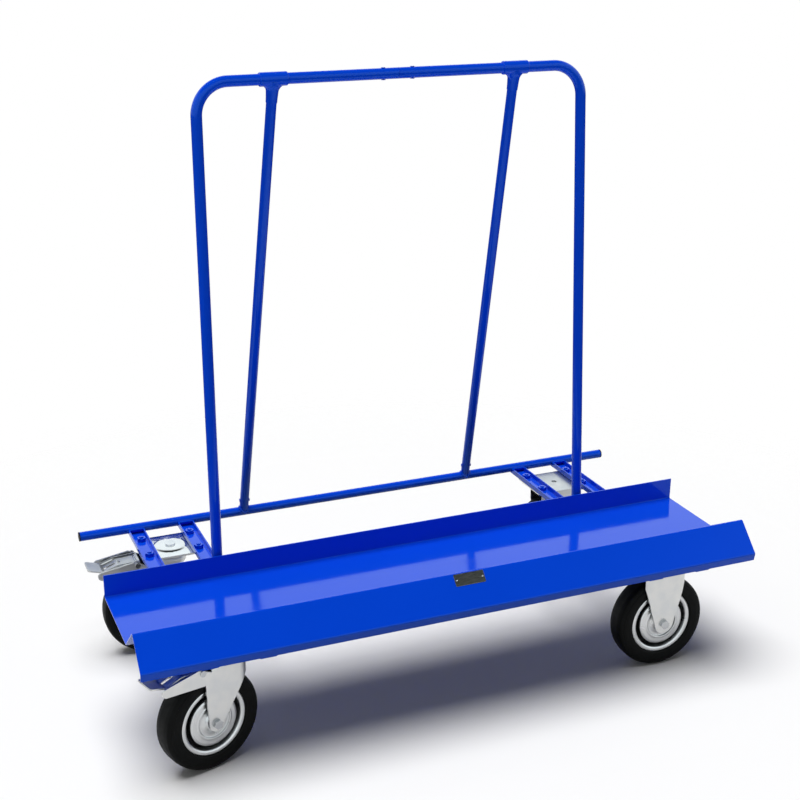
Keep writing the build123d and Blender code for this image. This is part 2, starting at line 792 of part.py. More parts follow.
def make_fixed_fork(caster):
    """A fixed fork: a box with rounded corners, open below and cut to the legs' side view."""
    foot = wheel_radius - fixed_leg_end_radius
    with BuildPart() as fork:
        for inset, mode in ((0, Mode.ADD), (fork_sheet, Mode.SUBTRACT)):
            with BuildSketch(level_plane(caster, foot)):
                RectangleRounded(
                    2 * (fixed_leg_reach - inset), fork_width - 2 * inset, fixed_leg_bend - inset
                )
            extrude(amount=plate_under - inset - foot, mode=mode)
        with BuildSketch(level_plane(caster, foot)):
            Rectangle(2 * fixed_leg_reach + cut_overrun, fixed_wheel_opening)
        extrude(amount=plate_under - fork_sheet - foot, mode=Mode.SUBTRACT)
        with BuildSketch(side_plane(caster)):
            with BuildLine():
                Polyline(
                    (-fixed_crown_reach, plate_under), (fixed_crown_reach, plate_under),
                    (fixed_crown_reach, plate_under - fixed_crown_depth), (fixed_leg_reach, fixed_leg_top),
                    (fixed_leg_end_radius, wheel_radius), (-fixed_leg_end_radius, wheel_radius),
                    (-fixed_leg_reach, fixed_leg_top), (-fixed_crown_reach, plate_under - fixed_crown_depth),
                    close=True,
                )
            make_face()
            with Locations((0, wheel_radius)):
                Circle(fixed_leg_end_radius)
        extrude(amount=fork_width, both=True, mode=Mode.INTERSECT)
        with BuildSketch(side_plane(caster)):
            with Locations((0, wheel_radius)):
                Circle(axle_bolt_radius + axle_hole_fit)
        extrude(amount=fork_width, both=True, mode=Mode.SUBTRACT)
    return fork


def make_axle_bolt(caster):
    """An axle bolt with its head on the apron's side."""
    across = axle_way(caster)
    near_face = wheel_plane(caster).origin - across * fork_half
    with BuildPart() as bolt:
        with BuildSketch(Plane(origin=near_face, z_dir=-across)):
            RegularPolygon(radius=axle_bolt_flats / 2, side_count=6, major_radius=False)
        extrude(amount=axle_bolt_head)
        with BuildSketch(Plane(origin=near_face, z_dir=across)):
            Circle(axle_bolt_radius)
        extrude(amount=fork_width + axle_nut_height + axle_thread_end)
    return bolt


def make_axle_nut(caster):
    """The nut on the far end of an axle bolt."""
    across = axle_way(caster)
    with BuildPart() as nut:
        with BuildSketch(Plane(origin=wheel_plane(caster).origin + across * fork_half, z_dir=across)):
            RegularPolygon(radius=axle_bolt_flats / 2, side_count=6, major_radius=False)
            Circle(axle_bolt_radius, mode=Mode.SUBTRACT)
        extrude(amount=axle_nut_height)
    return nut


def make_axle_sleeve(caster):
    """The sleeve that the wheel turns on, clamped between the legs."""
    with BuildPart() as sleeve:
        with BuildSketch(Plane(origin=wheel_plane(caster).origin, z_dir=axle_way(caster))):
            Circle(axle_sleeve_radius)
            Circle(axle_bolt_radius + axle_hole_fit, mode=Mode.SUBTRACT)
        extrude(amount=fork_inner_half, both=True)
    return sleeve


axle_pieces = ((make_axle_bolt, "axle_bolt"), (make_axle_nut, "axle_nut"), (make_axle_sleeve, "axle_sleeve"))
for maker, name in axle_pieces:
    save_group([maker(caster) for caster in fixed_casters], f"fixed_{name}s")
    for caster in swivel_casters:
        save(maker(caster), f"{name}_{caster.name}")

for caster in fixed_casters:
    save(make_fixed_fork(caster), f"fixed_fork_{caster.name}")

for caster in swivel_casters:
    save(make_swivel_fork(caster), f"swivel_fork_{caster.name}")
    save(make_pedal(caster), f"pedal_{caster.name}")
    save(make_pedal_pin(caster), f"pedal_pin_{caster.name}")
    save(make_brake_shoe(caster), f"brake_shoe_{caster.name}")
    ring_section = (
        (ball_ring_inner, crown_top), (ball_ring_outer, crown_top),
        (ball_ring_outer, dome_under - moving_gap), (ball_ring_inner, dome_under - moving_gap),
    )
    save(turn_upright(caster, ring_section), f"ball_ring_{caster.name}")

# Wheels: sections are (along the axle, radius)
tyre_half = [
    (wheel_width / 2, rim_radius), (wheel_width / 2, wheel_radius - shoulder_drop),
    (tread_half_width, wheel_radius),
]
rim_half = [
    (hub_half_width, bearing_radius), (hub_half_width, hub_radius),
    (disc_half_width, hub_radius), (disc_half_width, disc_radius),
    (rim_well_half_width, disc_radius), (rim_well_half_width, rim_ring_radius),
    (rim_half_width, rim_ring_radius), (rim_half_width, rim_radius),
]
bearing_inner_radius = axle_sleeve_radius + bearing_running_fit
bearing_half_length = fork_inner_half - bearing_end_gap
bearing_half = [(bearing_half_length, bearing_inner_radius), (bearing_half_length, bearing_radius)]


def mirror_section(half_section):
    """Closes a half section with its mirror image across the wheel's middle plane."""
    return half_section + [(-along, radius) for along, radius in reversed(half_section)]


for caster in all_casters:
    wheel = wheel_plane(caster)
    save(turn_section(wheel, mirror_section(tyre_half)), f"tyre_{caster.name}")
    save(turn_section(wheel, mirror_section(rim_half)), f"rim_{caster.name}")
    save(turn_section(wheel, mirror_section(bearing_half)), f"bearing_{caster.name}")
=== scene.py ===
"""Looks of a panel trolley: a glossy blue folded tray and tubular bow on four zinc plated castors.

Sizes are in millimetres in the classes and become metres when a mesh is made. X runs along the
tray, -Y is the apron side, +Z is up and the floor is z = 0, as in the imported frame.
"""

import logging
from dataclasses import dataclass, field
from enum import Enum

import bmesh
import bpy
import numpy as np
from mathutils import Matrix, Vector


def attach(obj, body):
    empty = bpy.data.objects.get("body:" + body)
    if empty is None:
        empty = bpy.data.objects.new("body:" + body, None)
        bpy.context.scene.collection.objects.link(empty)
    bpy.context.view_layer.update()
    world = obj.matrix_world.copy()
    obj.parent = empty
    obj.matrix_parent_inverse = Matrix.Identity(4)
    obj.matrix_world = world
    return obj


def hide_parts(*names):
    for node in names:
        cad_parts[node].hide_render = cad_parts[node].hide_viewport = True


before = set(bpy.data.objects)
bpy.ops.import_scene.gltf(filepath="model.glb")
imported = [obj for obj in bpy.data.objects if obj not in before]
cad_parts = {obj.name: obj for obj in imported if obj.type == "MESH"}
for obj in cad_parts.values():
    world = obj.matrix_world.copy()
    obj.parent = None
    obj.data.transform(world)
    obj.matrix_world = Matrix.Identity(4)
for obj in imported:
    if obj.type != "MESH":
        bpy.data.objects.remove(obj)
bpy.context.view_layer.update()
log = logging.getLogger("panel_trolley")

Array = np.ndarray
Corners = tuple[tuple[float, float], ...]
Tree = bpy.types.NodeTree
Socket = bpy.types.NodeSocket

MILLIMETRE = 0.001
ALONG_TRAY, TO_BACK, UP = np.eye(3)
WHEEL_RADIUS = 100.0
TUBE_POINTS = 56
SMALL_ROUND = np.linspace(0, np.pi / 2, 4)
SHALLOW_ANGLE = 28.0
MERGE_DISTANCE = 2e-6


class Slot(str, Enum):
    """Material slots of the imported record."""

    BLUE_PAINT = "blue_paint"
    ZINC_PLATE = "zinc_plate"
    ZINC_BOLT = "zinc_bolt"
    BLACK_RUBBER = "black_rubber"


class Side(Enum):
    """Left or right end of the trolley, as the sign of x."""

    LEFT = -1
    RIGHT = 1


# Meshes


@dataclass
class Surface:
    """Points in millimetres with the quads and wider faces that join them."""

    points: Array
    quads: Array
    caps: list[list[int]] = field(default_factory=list)

    def placed(self, origins: Array, frames: Array) -> "Surface":
        """Copies the surface to many places: origin + local point times the place's three axes.

        Args:
            origins: places, shape (m, 3).
            frames: three axes as rows for each place, shape (m, 3, 3).

        Returns:
            One surface that holds all the copies.
        """
        count = len(self.points)
        moved = origins[:, None, :] + np.einsum("pk,mkj->mpj", self.points, frames)
        shifts = np.arange(len(origins)) * count
        quads = (self.quads[None] + shifts[:, None, None]).reshape(-1, 4)
        caps = [[index + int(shift) for index in cap] for shift in shifts for cap in self.caps]
        return Surface(moved.reshape(-1, 3), quads, caps)


def joined(*surfaces: Surface) -> Surface:
    """Puts several surfaces into one.

    Args:
        surfaces: the surfaces to join, in order.

    Returns:
        One surface with all points and faces.
    """
    starts = np.cumsum([0] + [len(s.points) for s in surfaces[:-1]])
    caps = [[i + int(start) for i in cap] for s, start in zip(surfaces, starts) for cap in s.caps]
    quads = np.vstack([s.quads.reshape(-1, 4) + start for s, start in zip(surfaces, starts)])
    return Surface(np.vstack([s.points for s in surfaces]), quads.astype(int), caps)


def unit(vector: Array) -> Array:
    """The vector, or each row of an array, over its length."""
    return vector / np.linalg.norm(vector, axis=-1, keepdims=True)


def full_turn(count: int) -> Array:
    """Equal angles round a circle, in radians."""
    return np.linspace(0, 2 * np.pi, count, endpoint=False)


def saddle(radius: float, depth: Array, least: float = 0.0) -> Array:
    """A round bar's height at a depth from its middle: the root of radius ** 2 - depth ** 2."""
    return np.sqrt(np.maximum(radius ** 2 - depth ** 2, least))


def end_caps(rows: int, columns: int) -> list[list[int]]:
    """The two faces that close a grid at its first and last row."""
    return [list(range(columns)), list(range((rows - 1) * columns, rows * columns))]


def grid_quads(rows: int, columns: int, wrap_rows: bool = False, wrap_columns: bool = True) -> Array:
    """Quads of a grid of points, each joining (row, column) to the next row and column.

    Args:
        rows: number of rows.
        columns: number of columns.
        wrap_rows: the last row joins the first.
        wrap_columns: the last column joins the first.

    Returns:
        Point numbers, shape (quads, 4).
    """
    row = np.arange(rows if wrap_rows else rows - 1)[:, None]
    column = np.arange(columns if wrap_columns else columns - 1)[None, :]
    below, beside = (row + 1) % rows, (column + 1) % columns
    corners = [(row, column), (row, beside), (below, beside), (below, column)]
    numbers = [np.broadcast_to(a * columns + b, (row.size, column.size)) for a, b in corners]
    return np.stack(numbers, axis=-1).reshape(-1, 4)


def rounded_line(corners: Array, radii: Array | float, steps: int, closed: bool = False) -> Array:
    """A polyline whose corners are arcs.

    Each arc's centre stands on the corner's bisector at radius over sine of the half angle, and
    the arc swings by equal angles from one tangent point to the other.

    Args:
        corners: corner points, shape (n, 2) or (n, 3).
        radii: one radius for all rounded corners, or one for each.
        steps: steps in each arc.
        closed: the line is a loop, and every corner is rounded.

    Returns:
        The points of the line.
    """
    corners = np.asarray(corners, float)
    middle = corners if closed else corners[1:-1]
    before = np.roll(corners, 1, axis=0) if closed else corners[:-2]
    after = np.roll(corners, -1, axis=0) if closed else corners[2:]
    radius = np.broadcast_to(np.asarray(radii, float), (len(middle),))[:, None]
    to_before, to_after = unit(before - middle), unit(after - middle)
    half = 0.5 * np.arccos(np.clip((to_before * to_after).sum(1, keepdims=True), -1, 1))
    centre = middle + unit(to_before + to_after) * radius / np.sin(half)
    start = middle + to_before * radius / np.tan(half) - centre
    end = middle + to_after * radius / np.tan(half) - centre
    swing = np.pi - 2 * half[:, None]
    share = np.linspace(0, 1, steps + 1)[None, :, None]
    arc = np.sin((1 - share) * swing) * start[:, None] + np.sin(share * swing) * end[:, None]
    line = (centre[:, None] + arc / np.sin(swing)).reshape(-1, corners.shape[1])
    return line if closed else np.vstack([corners[:1], line, corners[-1:]])


def tube_along(line: Array, across: Array, radius: Array | float,
               around: int = TUBE_POINTS, edge: float = 0.6) -> Surface:
    """A round bar carried along a line that lies in one plane.

    Every ring is centre + radius * (cos a * side + sin a * across), where side is the line's
    direction crossed with the plane's normal. The two ends close over a small rounded edge.

    Args:
        line: the middle line, shape (n, 3).
        across: normal of the plane that holds the line.
        radius: radius, or one for each point of the line.
        around: points in a ring.
        edge: rounding of the two end edges.

    Returns:
        The closed bar.
    """
    radius = np.broadcast_to(np.asarray(radius, float), (len(line),))
    way = unit(np.gradient(line, axis=0))
    way[0], way[-1] = unit(line[1] - line[0]), unit(line[-1] - line[-2])
    inwards = edge * (1 - np.cos(SMALL_ROUND))
    front = line[0] + way[0] * inwards[:, None]
    back = line[-1] - way[-1] * inwards[::-1, None]
    round_off = edge * (1 - np.sin(SMALL_ROUND))
    centre = np.vstack([front, line[1:-1], back])
    size = np.concatenate([radius[0] - round_off, radius[1:-1], radius[-1] - round_off[::-1]])
    ends = len(SMALL_ROUND)
    ways = np.vstack([np.repeat(way[:1], ends, 0), way[1:-1], np.repeat(way[-1:], ends, 0)])
    side = unit(np.cross(ways, across))
    upper = unit(np.cross(side, ways))
    angle = full_turn(around)[None, :, None]
    spoke = np.cos(angle) * side[:, None] + np.sin(angle) * upper[:, None]
    rings = centre[:, None] + size[:, None, None] * spoke
    rows = len(centre)
    return Surface(rings.reshape(-1, 3), grid_quads(rows, around), end_caps(rows, around))


def turned(section: Array, origin: Array, axis: Array, around: int, ring: bool = True) -> Surface:
    """A section carried round an axis: origin + along * axis + radius * (cos a * u + sin a * v).

    Args:
        section: (along, radius) points.
        origin: a point on the axis, where along is zero.
        axis: direction of the axis.
        around: steps round the axis.
        ring: the section is a closed loop; otherwise its two ends are capped.

    Returns:
        The closed shape.
    """
    axis = unit(np.asarray(axis, float))
    helper = UP if abs(axis[2]) < 0.9 else ALONG_TRAY
    u = unit(np.cross(axis, helper))
    v = np.cross(axis, u)
    angle = full_turn(around)[None, :, None]
    spoke = np.cos(angle) * u + np.sin(angle) * v
    points = np.asarray(origin) + section[:, 0, None, None] * axis + section[:, 1, None, None] * spoke
    rows = len(section)
    caps = [] if ring else end_caps(rows, around)
    return Surface(points.reshape(-1, 3), grid_quads(rows, around, wrap_rows=ring), caps)


def rivet_head(centre: Array, way: Array, seat: float, rise: float, radius: float,
               steps: int, around: int) -> Surface:
    """A domed rivet head: a quarter ellipse (seat + rise * sin a, radius * cos a) carried round.

    Args:
        centre: a point on the rivet's axis.
        way: direction of the axis.
        seat: where the head's foot lies along the axis.
        rise: height of the head.
        radius: radius of the head.
        steps: points from its foot to its crown.
        around: points round it.

    Returns:
        The closed head, with a tiny flat at its crown.
    """
    swing = np.linspace(0, np.pi / 2, steps)
    dome = np.stack([seat + rise * np.sin(swing), radius * np.cos(swing) + 0.02], -1)
    return turned(dome, centre, way, around, ring=False)


def thickened(points: Array, thick: Array, kept: Array) -> Surface:
    """A sheet from a grid of points: the same grid moved in along its normals, and walls between.

    A point's normal is the cross product of the grid's two directions there, turned upwards in the
    middle of the grid. Every edge that only one kept quad uses gets a wall.

    Args:
        points: the outer face, shape (rows, columns, 3).
        thick: thickness at each point.
        kept: which quads of the grid stay; the others leave holes.

    Returns:
        The closed sheet.
    """
    rows, columns = thick.shape
    normal = unit(np.cross(np.gradient(points, axis=0), np.gradient(points, axis=1)))
    normal = normal * np.sign(normal[rows // 4, columns // 2, 2])
    inner = points - thick[..., None] * normal
    quads = grid_quads(rows, columns, wrap_columns=False)[kept.ravel()]
    edges = np.stack([quads, np.roll(quads, -1, axis=1)], -1).reshape(-1, 2)
    _, where, count = np.unique(np.sort(edges, axis=1), axis=0, return_inverse=True, return_counts=True)
    rim = edges[count[where.ravel()] == 1]
    total = rows * columns
    walls = np.stack([rim[:, 1], rim[:, 0], rim[:, 0] + total, rim[:, 1] + total], -1)
    faces = np.vstack([quads, quads[:, ::-1] + total, walls])
    used, number = np.unique(faces, return_inverse=True)
    both = np.vstack([points.reshape(-1, 3), inner.reshape(-1, 3)])
    return Surface(both[used], number.reshape(-1, 4))


def hexagon(flats: float, height: float, chamfer_low: bool, around: int = 48) -> Surface:
    """A hexagon head or nut standing on z = 0, its corners cut by a 30 degree cone.

    The outline's radius is the apothem over the cosine of the angle from the nearest flat, and
    the cone takes off (radius - apothem) times the tangent of 30 degrees.

    Args:
        flats: width across flats.
        height: height along z.
        chamfer_low: cut the lower corners too, as on a nut.
        around: points round it, a multiple of 12.

    Returns:
        The closed head.
    """
    apothem = flats / 2
    washer_face = 0.96 * apothem
    angle = full_turn(around)
    outline = apothem / np.cos((angle + np.pi / 6) % (np.pi / 3) - np.pi / 6)
    drop = (outline - washer_face) * np.tan(np.pi / 6)
    rim = np.minimum(outline, washer_face)
    low = drop if chamfer_low else 0 * drop
    foot = rim if chamfer_low else outline
    rows = [(foot, 0 * drop), (outline, low), (outline, height - drop), (rim, height + 0 * drop)]
    points = np.stack([np.stack([r * np.cos(angle), r * np.sin(angle), z], -1) for r, z in rows])
    return Surface(points.reshape(-1, 3), grid_quads(4, around), end_caps(4, around))


def threaded_end(radius: float, pitch: float, height: float, around: int = 32) -> Surface:
    """The end of a thread on z = 0: radius - depth * wave(height / pitch), with a chamfered tip.

    Args:
        radius: outer radius.
        pitch: distance between crests.
        height: height along z.
        around: points round it.

    Returns:
        The closed end, its crests as rings.
    """
    chamfer = 1.2
    z = np.linspace(0, height, int(4 * height / pitch) + 1)
    wave = 0.5 - 0.5 * np.cos(2 * np.pi * z / pitch)
    r = np.minimum(radius - 0.5 * pitch * wave, radius - chamfer + (height - z))
    return turned(np.stack([z, r], -1), np.zeros(3), UP, around, ring=False)


def even_normals(thing: bpy.types.Object) -> None:
    """Lets large faces set the shading, so that flats stay flat beside their rounded edges."""
    thing.modifiers.new("even_normals", "WEIGHTED_NORMAL").keep_sharp = True


def make_piece(name: str, surface: Surface, material: bpy.types.Material, body: str,
               replaces: tuple[str, ...] = (), crease: float = 32.0) -> None:
    """Puts a surface into a mesh in metres and hands the piece to its body.

    Args:
        name: the piece's name.
        surface: points in millimetres and faces.
        material: finish.
        body: the CAD body that it rides on.
        replaces: CAD nodes that it stands for.
        crease: edges sharper than so many degrees stay sharp.
    """
    mesh = bpy.data.meshes.new(name)
    mesh.from_pydata((surface.points * MILLIMETRE).tolist(), [], surface.quads.tolist() + surface.caps)
    shell = bmesh.new()
    shell.from_mesh(mesh)
    bmesh.ops.recalc_face_normals(shell, faces=shell.faces)
    shell.to_mesh(mesh)
    shell.free()
    mesh.shade_smooth()
    mesh.set_sharp_from_angle(angle=np.radians(crease))
    mesh.materials.append(material)
    piece = bpy.data.objects.new(name, mesh)
    bpy.context.scene.collection.objects.link(piece)
    even_normals(piece)
    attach(piece, body)
    if replaces:
        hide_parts(*replaces)
    log.info("%s: %d faces on %s", name, len(mesh.polygons), body)


def smoothing_group() -> Tree:
    """A modifier that joins a CAD node's loose triangles and smooths its shallow edges.

    Returns:
        The geometry nodes.
    """
    group = bpy.data.node_groups.new("smooth_shallow_edges", "GeometryNodeTree")
    for way in ("INPUT", "OUTPUT"):
        group.interface.new_socket("Geometry", in_out=way, socket_type="NodeSocketGeometry")
    source = add_node(group, "NodeGroupInput", {}, {})
    merged = add_node(group, "GeometryNodeMergeByDistance", {}, {
        "Geometry": source, "Distance": MERGE_DISTANCE})
    smooth = add_node(group, "GeometryNodeSetShadeSmooth", {"domain": "FACE"}, {0: merged})
    angle = add_node(group, "GeometryNodeInputMeshEdgeAngle", {}, {})
    steep = add_node(group, "FunctionNodeCompare", {"operation": "GREATER_THAN"}, {
        0: angle, 1: float(np.radians(SHALLOW_ANGLE))})
    sharp = add_node(group, "GeometryNodeSetShadeSmooth", {"domain": "EDGE"}, {
        0: smooth, "Selection": steep, "Shade Smooth": False})
    add_node(group, "NodeGroupOutput", {}, {0: sharp})
    return group


def dress_node(name: str, material: bpy.types.Material, smoothing: Tree) -> None:
    """Gives a CAD node that stays its finish and smooth shading.

    Args:
        name: the node's name.
        material: finish for every slot.
        smoothing: the shared modifier group.
    """
    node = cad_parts[name]
    if node.material_slots:
        for place in node.material_slots:
            place.link = "OBJECT"
            place.material = material
    else:
        node.data.materials.append(material)
    node.modifiers.new(smoothing.name, "NODES").node_group = smoothing
    even_normals(node)
    log.info("%s: CAD shape kept, dressed in %s", name, material.name)


# Finishes

COLOUR_MIX = {"data_type": "RGBA"}
# Sockets of a colour mix go by number, because its hidden ones share their names
SHARE, FIRST, SECOND, MIXED = 0, 6, 7, 2


def linear(colour: str) -> tuple[float, float, float, float]:
    """An sRGB colour as linear light.

    Args:
        colour: six hex digits.

    Returns:
        Linear red, green and blue, and full alpha.
    """
    value = np.array([int(colour[i:i + 2], 16) for i in (0, 2, 4)]) / 255
    low, high = value / 12.92, ((value + 0.055) / 1.055) ** 2.4
    return (*np.where(value <= 0.04045, low, high).tolist(), 1.0)


def add_node(tree: Tree, kind: str, settings: dict, links: dict,
             output: int | str = 0) -> Socket | None:
    """Adds a node, sets its properties and fills its inputs.

    Args:
        tree: the tree that gets the node.
        kind: Blender's name of the node type.
        settings: property names and values.
        links: input names or numbers, each with a socket to link or a value to set.
        output: name or number of the output to hand back.

    Returns:
        That output, or None where the node has none.
    """
    node = tree.nodes.new(kind)
    for key, value in settings.items():
        setattr(node, key, value)
    for key, value in links.items():
        if isinstance(value, Socket):
            tree.links.new(value, node.inputs[key])
        else:
            node.inputs[key].default_value = value
    return node.outputs[output] if node.outputs else None


@dataclass(frozen=True)
class Drift:
    """A level that wanders from low to high over a surface: noise whose lumps are size millimetres
    across, with so many finer layers, stretched from start and end to low and high and clamped."""

    size: float
    low: float
    high: float
    detail: float = 3.0
    start: float = 0.3
    end: float = 0.7

    def level(self, tree: Tree, place: Socket) -> Socket:
        """The level.

        Args:
            tree: the material's tree.
            place: coordinates in metres.

        Returns:
            The level's socket.
        """
        noise = add_node(tree, "ShaderNodeTexNoise", {}, {
            "Vector": place, "Scale": 1 / (self.size * MILLIMETRE), "Detail": self.detail})
        return add_node(tree, "ShaderNodeMapRange", {}, {
            "Value": noise, "From Min": self.start, "From Max": self.end,
            "To Min": self.low, "To Max": self.high})

    def tint(self, tree: Tree, place: Socket, first: str, second: str) -> Socket:
        """A colour that wanders with the level.

        Args:
            tree: the material's tree.
            place: coordinates in metres.
            first: colour where the level is 0, in hex digits.
            second: colour where it is 1.

        Returns:
            The colour's socket.
        """
        level = self.level(tree, place)
        return add_node(tree, "ShaderNodeMix", COLOUR_MIX, {
            SHARE: level, FIRST: linear(first), SECOND: linear(second)}, MIXED)


@dataclass(frozen=True)
class Relief:
    """Bumps whose lumps are size millimetres across, with so many finer layers and so deep."""

    size: float
    detail: float
    depth: float

    def normal(self, tree: Tree, place: Socket, smooth: Socket) -> Socket:
        """The bumped normal.

        Args:
            tree: the material's tree.
            place: coordinates in metres.
            smooth: the normal to start from.

        Returns:
            The normal's socket.
        """
        noise = add_node(tree, "ShaderNodeTexNoise", {}, {
            "Vector": place, "Scale": 1 / (self.size * MILLIMETRE), "Detail": self.detail})
        return add_node(tree, "ShaderNodeBump", {}, {
            "Strength": 1.0, "Distance": self.depth * MILLIMETRE, "Height": noise, "Normal": smooth})


@dataclass(frozen=True)
class Finish:
    """A material: a colour with clouds of another and edges of a third, a roughness that wanders,
    and reliefs one on top of the other.

    An edge shows within edge_radius millimetres of it, and the sharper the higher edge_gain. A drift
    of its own makes the edge colour come and go along it. Stretch pulls the patterns along an axis,
    and the constants go straight into the shader.
    """

    name: str
    colour: str
    cloud_colour: str = ""
    clouds: Drift | None = None
    edge_colour: str = ""
    edge_radius: float = 0.5
    edge_gain: float = 4.0
    thin_coat_and_sheen: Drift | None = None
    roughness: Drift | None = None
    reliefs: tuple[Relief, ...] = ()
    stretch: tuple[float, float, float] | None = None
    constants: tuple[tuple[str, float | tuple], ...] = ()

    def body(self, tree: Tree, place: Socket) -> Socket | tuple:
        """The colour with its clouds.

        Args:
            tree: the material's tree.
            place: coordinates in metres.

        Returns:
            The colour's socket, or the plain colour of a finish without clouds.
        """
        if self.clouds:
            return self.clouds.tint(tree, place, self.colour, self.cloud_colour)
        return linear(self.colour)

    def edged(self, tree: Tree, place: Socket, rounded: Socket) -> Socket:
        """The body's colour with the edges' over it.

        The mask grows as the normal of a rounded edge departs from the face's own.

        Args:
            tree: the material's tree.
            place: coordinates in metres.
            rounded: the normal of the rounded edges.

        Returns:
            The colour's socket.
        """
        face = add_node(tree, "ShaderNodeNewGeometry", {}, {}, "Normal")
        same = add_node(tree, "ShaderNodeVectorMath", {"operation": "DOT_PRODUCT"}, {
            0: rounded, 1: face}, "Value")
        mask = add_node(tree, "ShaderNodeMapRange", {}, {
            "Value": same, "From Min": 1.0, "From Max": 1.0 - 1 / self.edge_gain,
            "To Min": 0.0, "To Max": 1.0})
        if self.thin_coat_and_sheen:
            mask = add_node(tree, "ShaderNodeMath", {"operation": "MULTIPLY"}, {
                0: mask, 1: self.thin_coat_and_sheen.level(tree, place)})
        return add_node(tree, "ShaderNodeMix", COLOUR_MIX, {
            SHARE: mask, FIRST: self.body(tree, place), SECOND: linear(self.edge_colour)}, MIXED)

    def inputs(self, tree: Tree, place: Socket) -> dict:
        """What goes into the shader.

        Args:
            tree: the material's tree.
            place: object coordinates in metres.

        Returns:
            Shader inputs with values or sockets.
        """
        if self.stretch:
            place = add_node(tree, "ShaderNodeMapping", {}, {"Vector": place, "Scale": self.stretch})
        normal = add_node(tree, "ShaderNodeBevel", {"samples": 6}, {
            "Radius": self.edge_radius * MILLIMETRE})
        colour = self.edged(tree, place, normal) if self.edge_colour else self.body(tree, place)
        for relief in self.reliefs:
            normal = relief.normal(tree, place, normal)
        return {"Base Color": colour, "Roughness": self.roughness.level(tree, place), "Normal": normal,
                **dict(self.constants)}

    def build(self) -> bpy.types.Material:
        """Makes the material.

        Returns:
            The material, its tree ended by the principled shader.
        """
        material = bpy.data.materials.new(self.name)
        material.use_nodes = True
        tree = material.node_tree
        tree.nodes.clear()
        place = add_node(tree, "ShaderNodeTexCoord", {}, {}, "Object")
        shader = add_node(tree, "ShaderNodeBsdfPrincipled", {}, self.inputs(tree, place))
        add_node(tree, "ShaderNodeOutputMaterial", {}, {"Surface": shader})
        return material


@dataclass(frozen=True)
class PowderCoat(Finish):
    """Gloss polyester powder coat, sprayed dry and baked: a deep even colour under a mirror-like
    skin, with orange peel and paler cut edges, partly a thinner coat and partly a painted highlight.
    The pigment lies close under the skin, so head-on reflections are tinted."""

    name: str = "gloss_blue_powder_coat"
    colour: str = "0446DC"
    cloud_colour: str = "033CC4"
    clouds: Drift = Drift(160.0, 0.0, 0.10, start=0.35, end=0.65)
    # Paler edges: partly a thinner coat, partly a painted highlight along the edges.
    edge_colour: str = "2358E2"
    edge_radius: float = 0.7
    edge_gain: float = 5.0
    thin_coat_and_sheen: Drift = Drift(9.0, 0.15, 0.75, 4.0, 0.42, 0.62)
    roughness: Drift = Drift(30.0, 0.07, 0.13)
    reliefs: tuple[Relief, ...] = (Relief(45.0, 1.0, 0.035), Relief(2.2, 1.0, 0.0035))
    constants: tuple[tuple[str, float | tuple], ...] = (("IOR", 1.5), ("Specular Tint", linear("7FC4FF")))


@dataclass(frozen=True)
class ZincPlating(Finish):
    """Pressed steel, electroplated with zinc and passivated: a pale satin grey with faint bluish
    clouds, fine pits and brighter edges, partly rubbed and partly a painted highlight."""

    name: str = "satin_zinc_plated_steel"
    colour: str = "D8D8D6"
    cloud_colour: str = "CDCFD0"
    clouds: Drift = Drift(30.0, 0.0, 0.8, start=0.38, end=0.66)
    # Brighter edges: partly rubbed zinc, partly a painted highlight.
    edge_colour: str = "F0F1F3"
    edge_radius: float = 0.6
    edge_gain: float = 5.0
    roughness: Drift = Drift(14.0, 0.29, 0.37)
    reliefs: tuple[Relief, ...] = (Relief(1.6, 2.0, 0.003),)
    constants: tuple[tuple[str, float | tuple], ...] = (("Metallic", 1.0),)


@dataclass(frozen=True)
class Rubber(Finish):
    """Moulded carbon-black rubber: near black, satin, with fine moulding grain and a trace of dust.
    Its open texture traps most of the surface reflection, so its specular level is low."""

    name: str = "moulded_black_rubber"
    colour: str = "060707"
    cloud_colour: str = "121312"
    clouds: Drift = Drift(28.0, 0.0, 0.35, 5.0, 0.45, 0.75)
    edge_radius: float = 0.8
    roughness: Drift = Drift(12.0, 0.46, 0.62)
    reliefs: tuple[Relief, ...] = (Relief(0.9, 2.0, 0.02),)
    constants: tuple[tuple[str, float | tuple], ...] = (("IOR", 1.52), ("Specular IOR Level", 0.09))


@dataclass(frozen=True)
class BlackPlastic(Finish):
    """Moulded black polyethylene: a soft waxy black with paler edges and a fine grain."""

    name: str = "moulded_black_polyethylene"
    colour: str = "0A0B0C"
    edge_colour: str = "202123"
    roughness: Drift = Drift(6.0, 0.36, 0.52)
    reliefs: tuple[Relief, ...] = (Relief(0.7, 2.0, 0.01),)
    constants: tuple[tuple[str, float | tuple], ...] = (("IOR", 1.51), ("Specular IOR Level", 0.1))


@dataclass(frozen=True)
class PlateAluminium(Finish):
    """Bare aluminium label plate, rolled and darkened by anodising: fine lines along its length,
    drawn 0.5 mm apart, coarser than real, to show."""

    name: str = "dark_anodised_aluminium"
    colour: str = "62645F"
    cloud_colour: str = "90918B"
    clouds: Drift = Drift(0.5, 0.0, 0.6, 2.0, 0.35, 0.65)
    edge_colour: str = "C8C9C4"
    edge_gain: float = 3.0
    roughness: Drift = Drift(0.5, 0.25, 0.42, 2.0)
    reliefs: tuple[Relief, ...] = (Relief(0.5, 2.0, 0.01),)
    stretch: tuple[float, float, float] = (0.04, 1.0, 1.0)
    constants: tuple[tuple[str, float | tuple], ...] = (("Metallic", 1.0),)


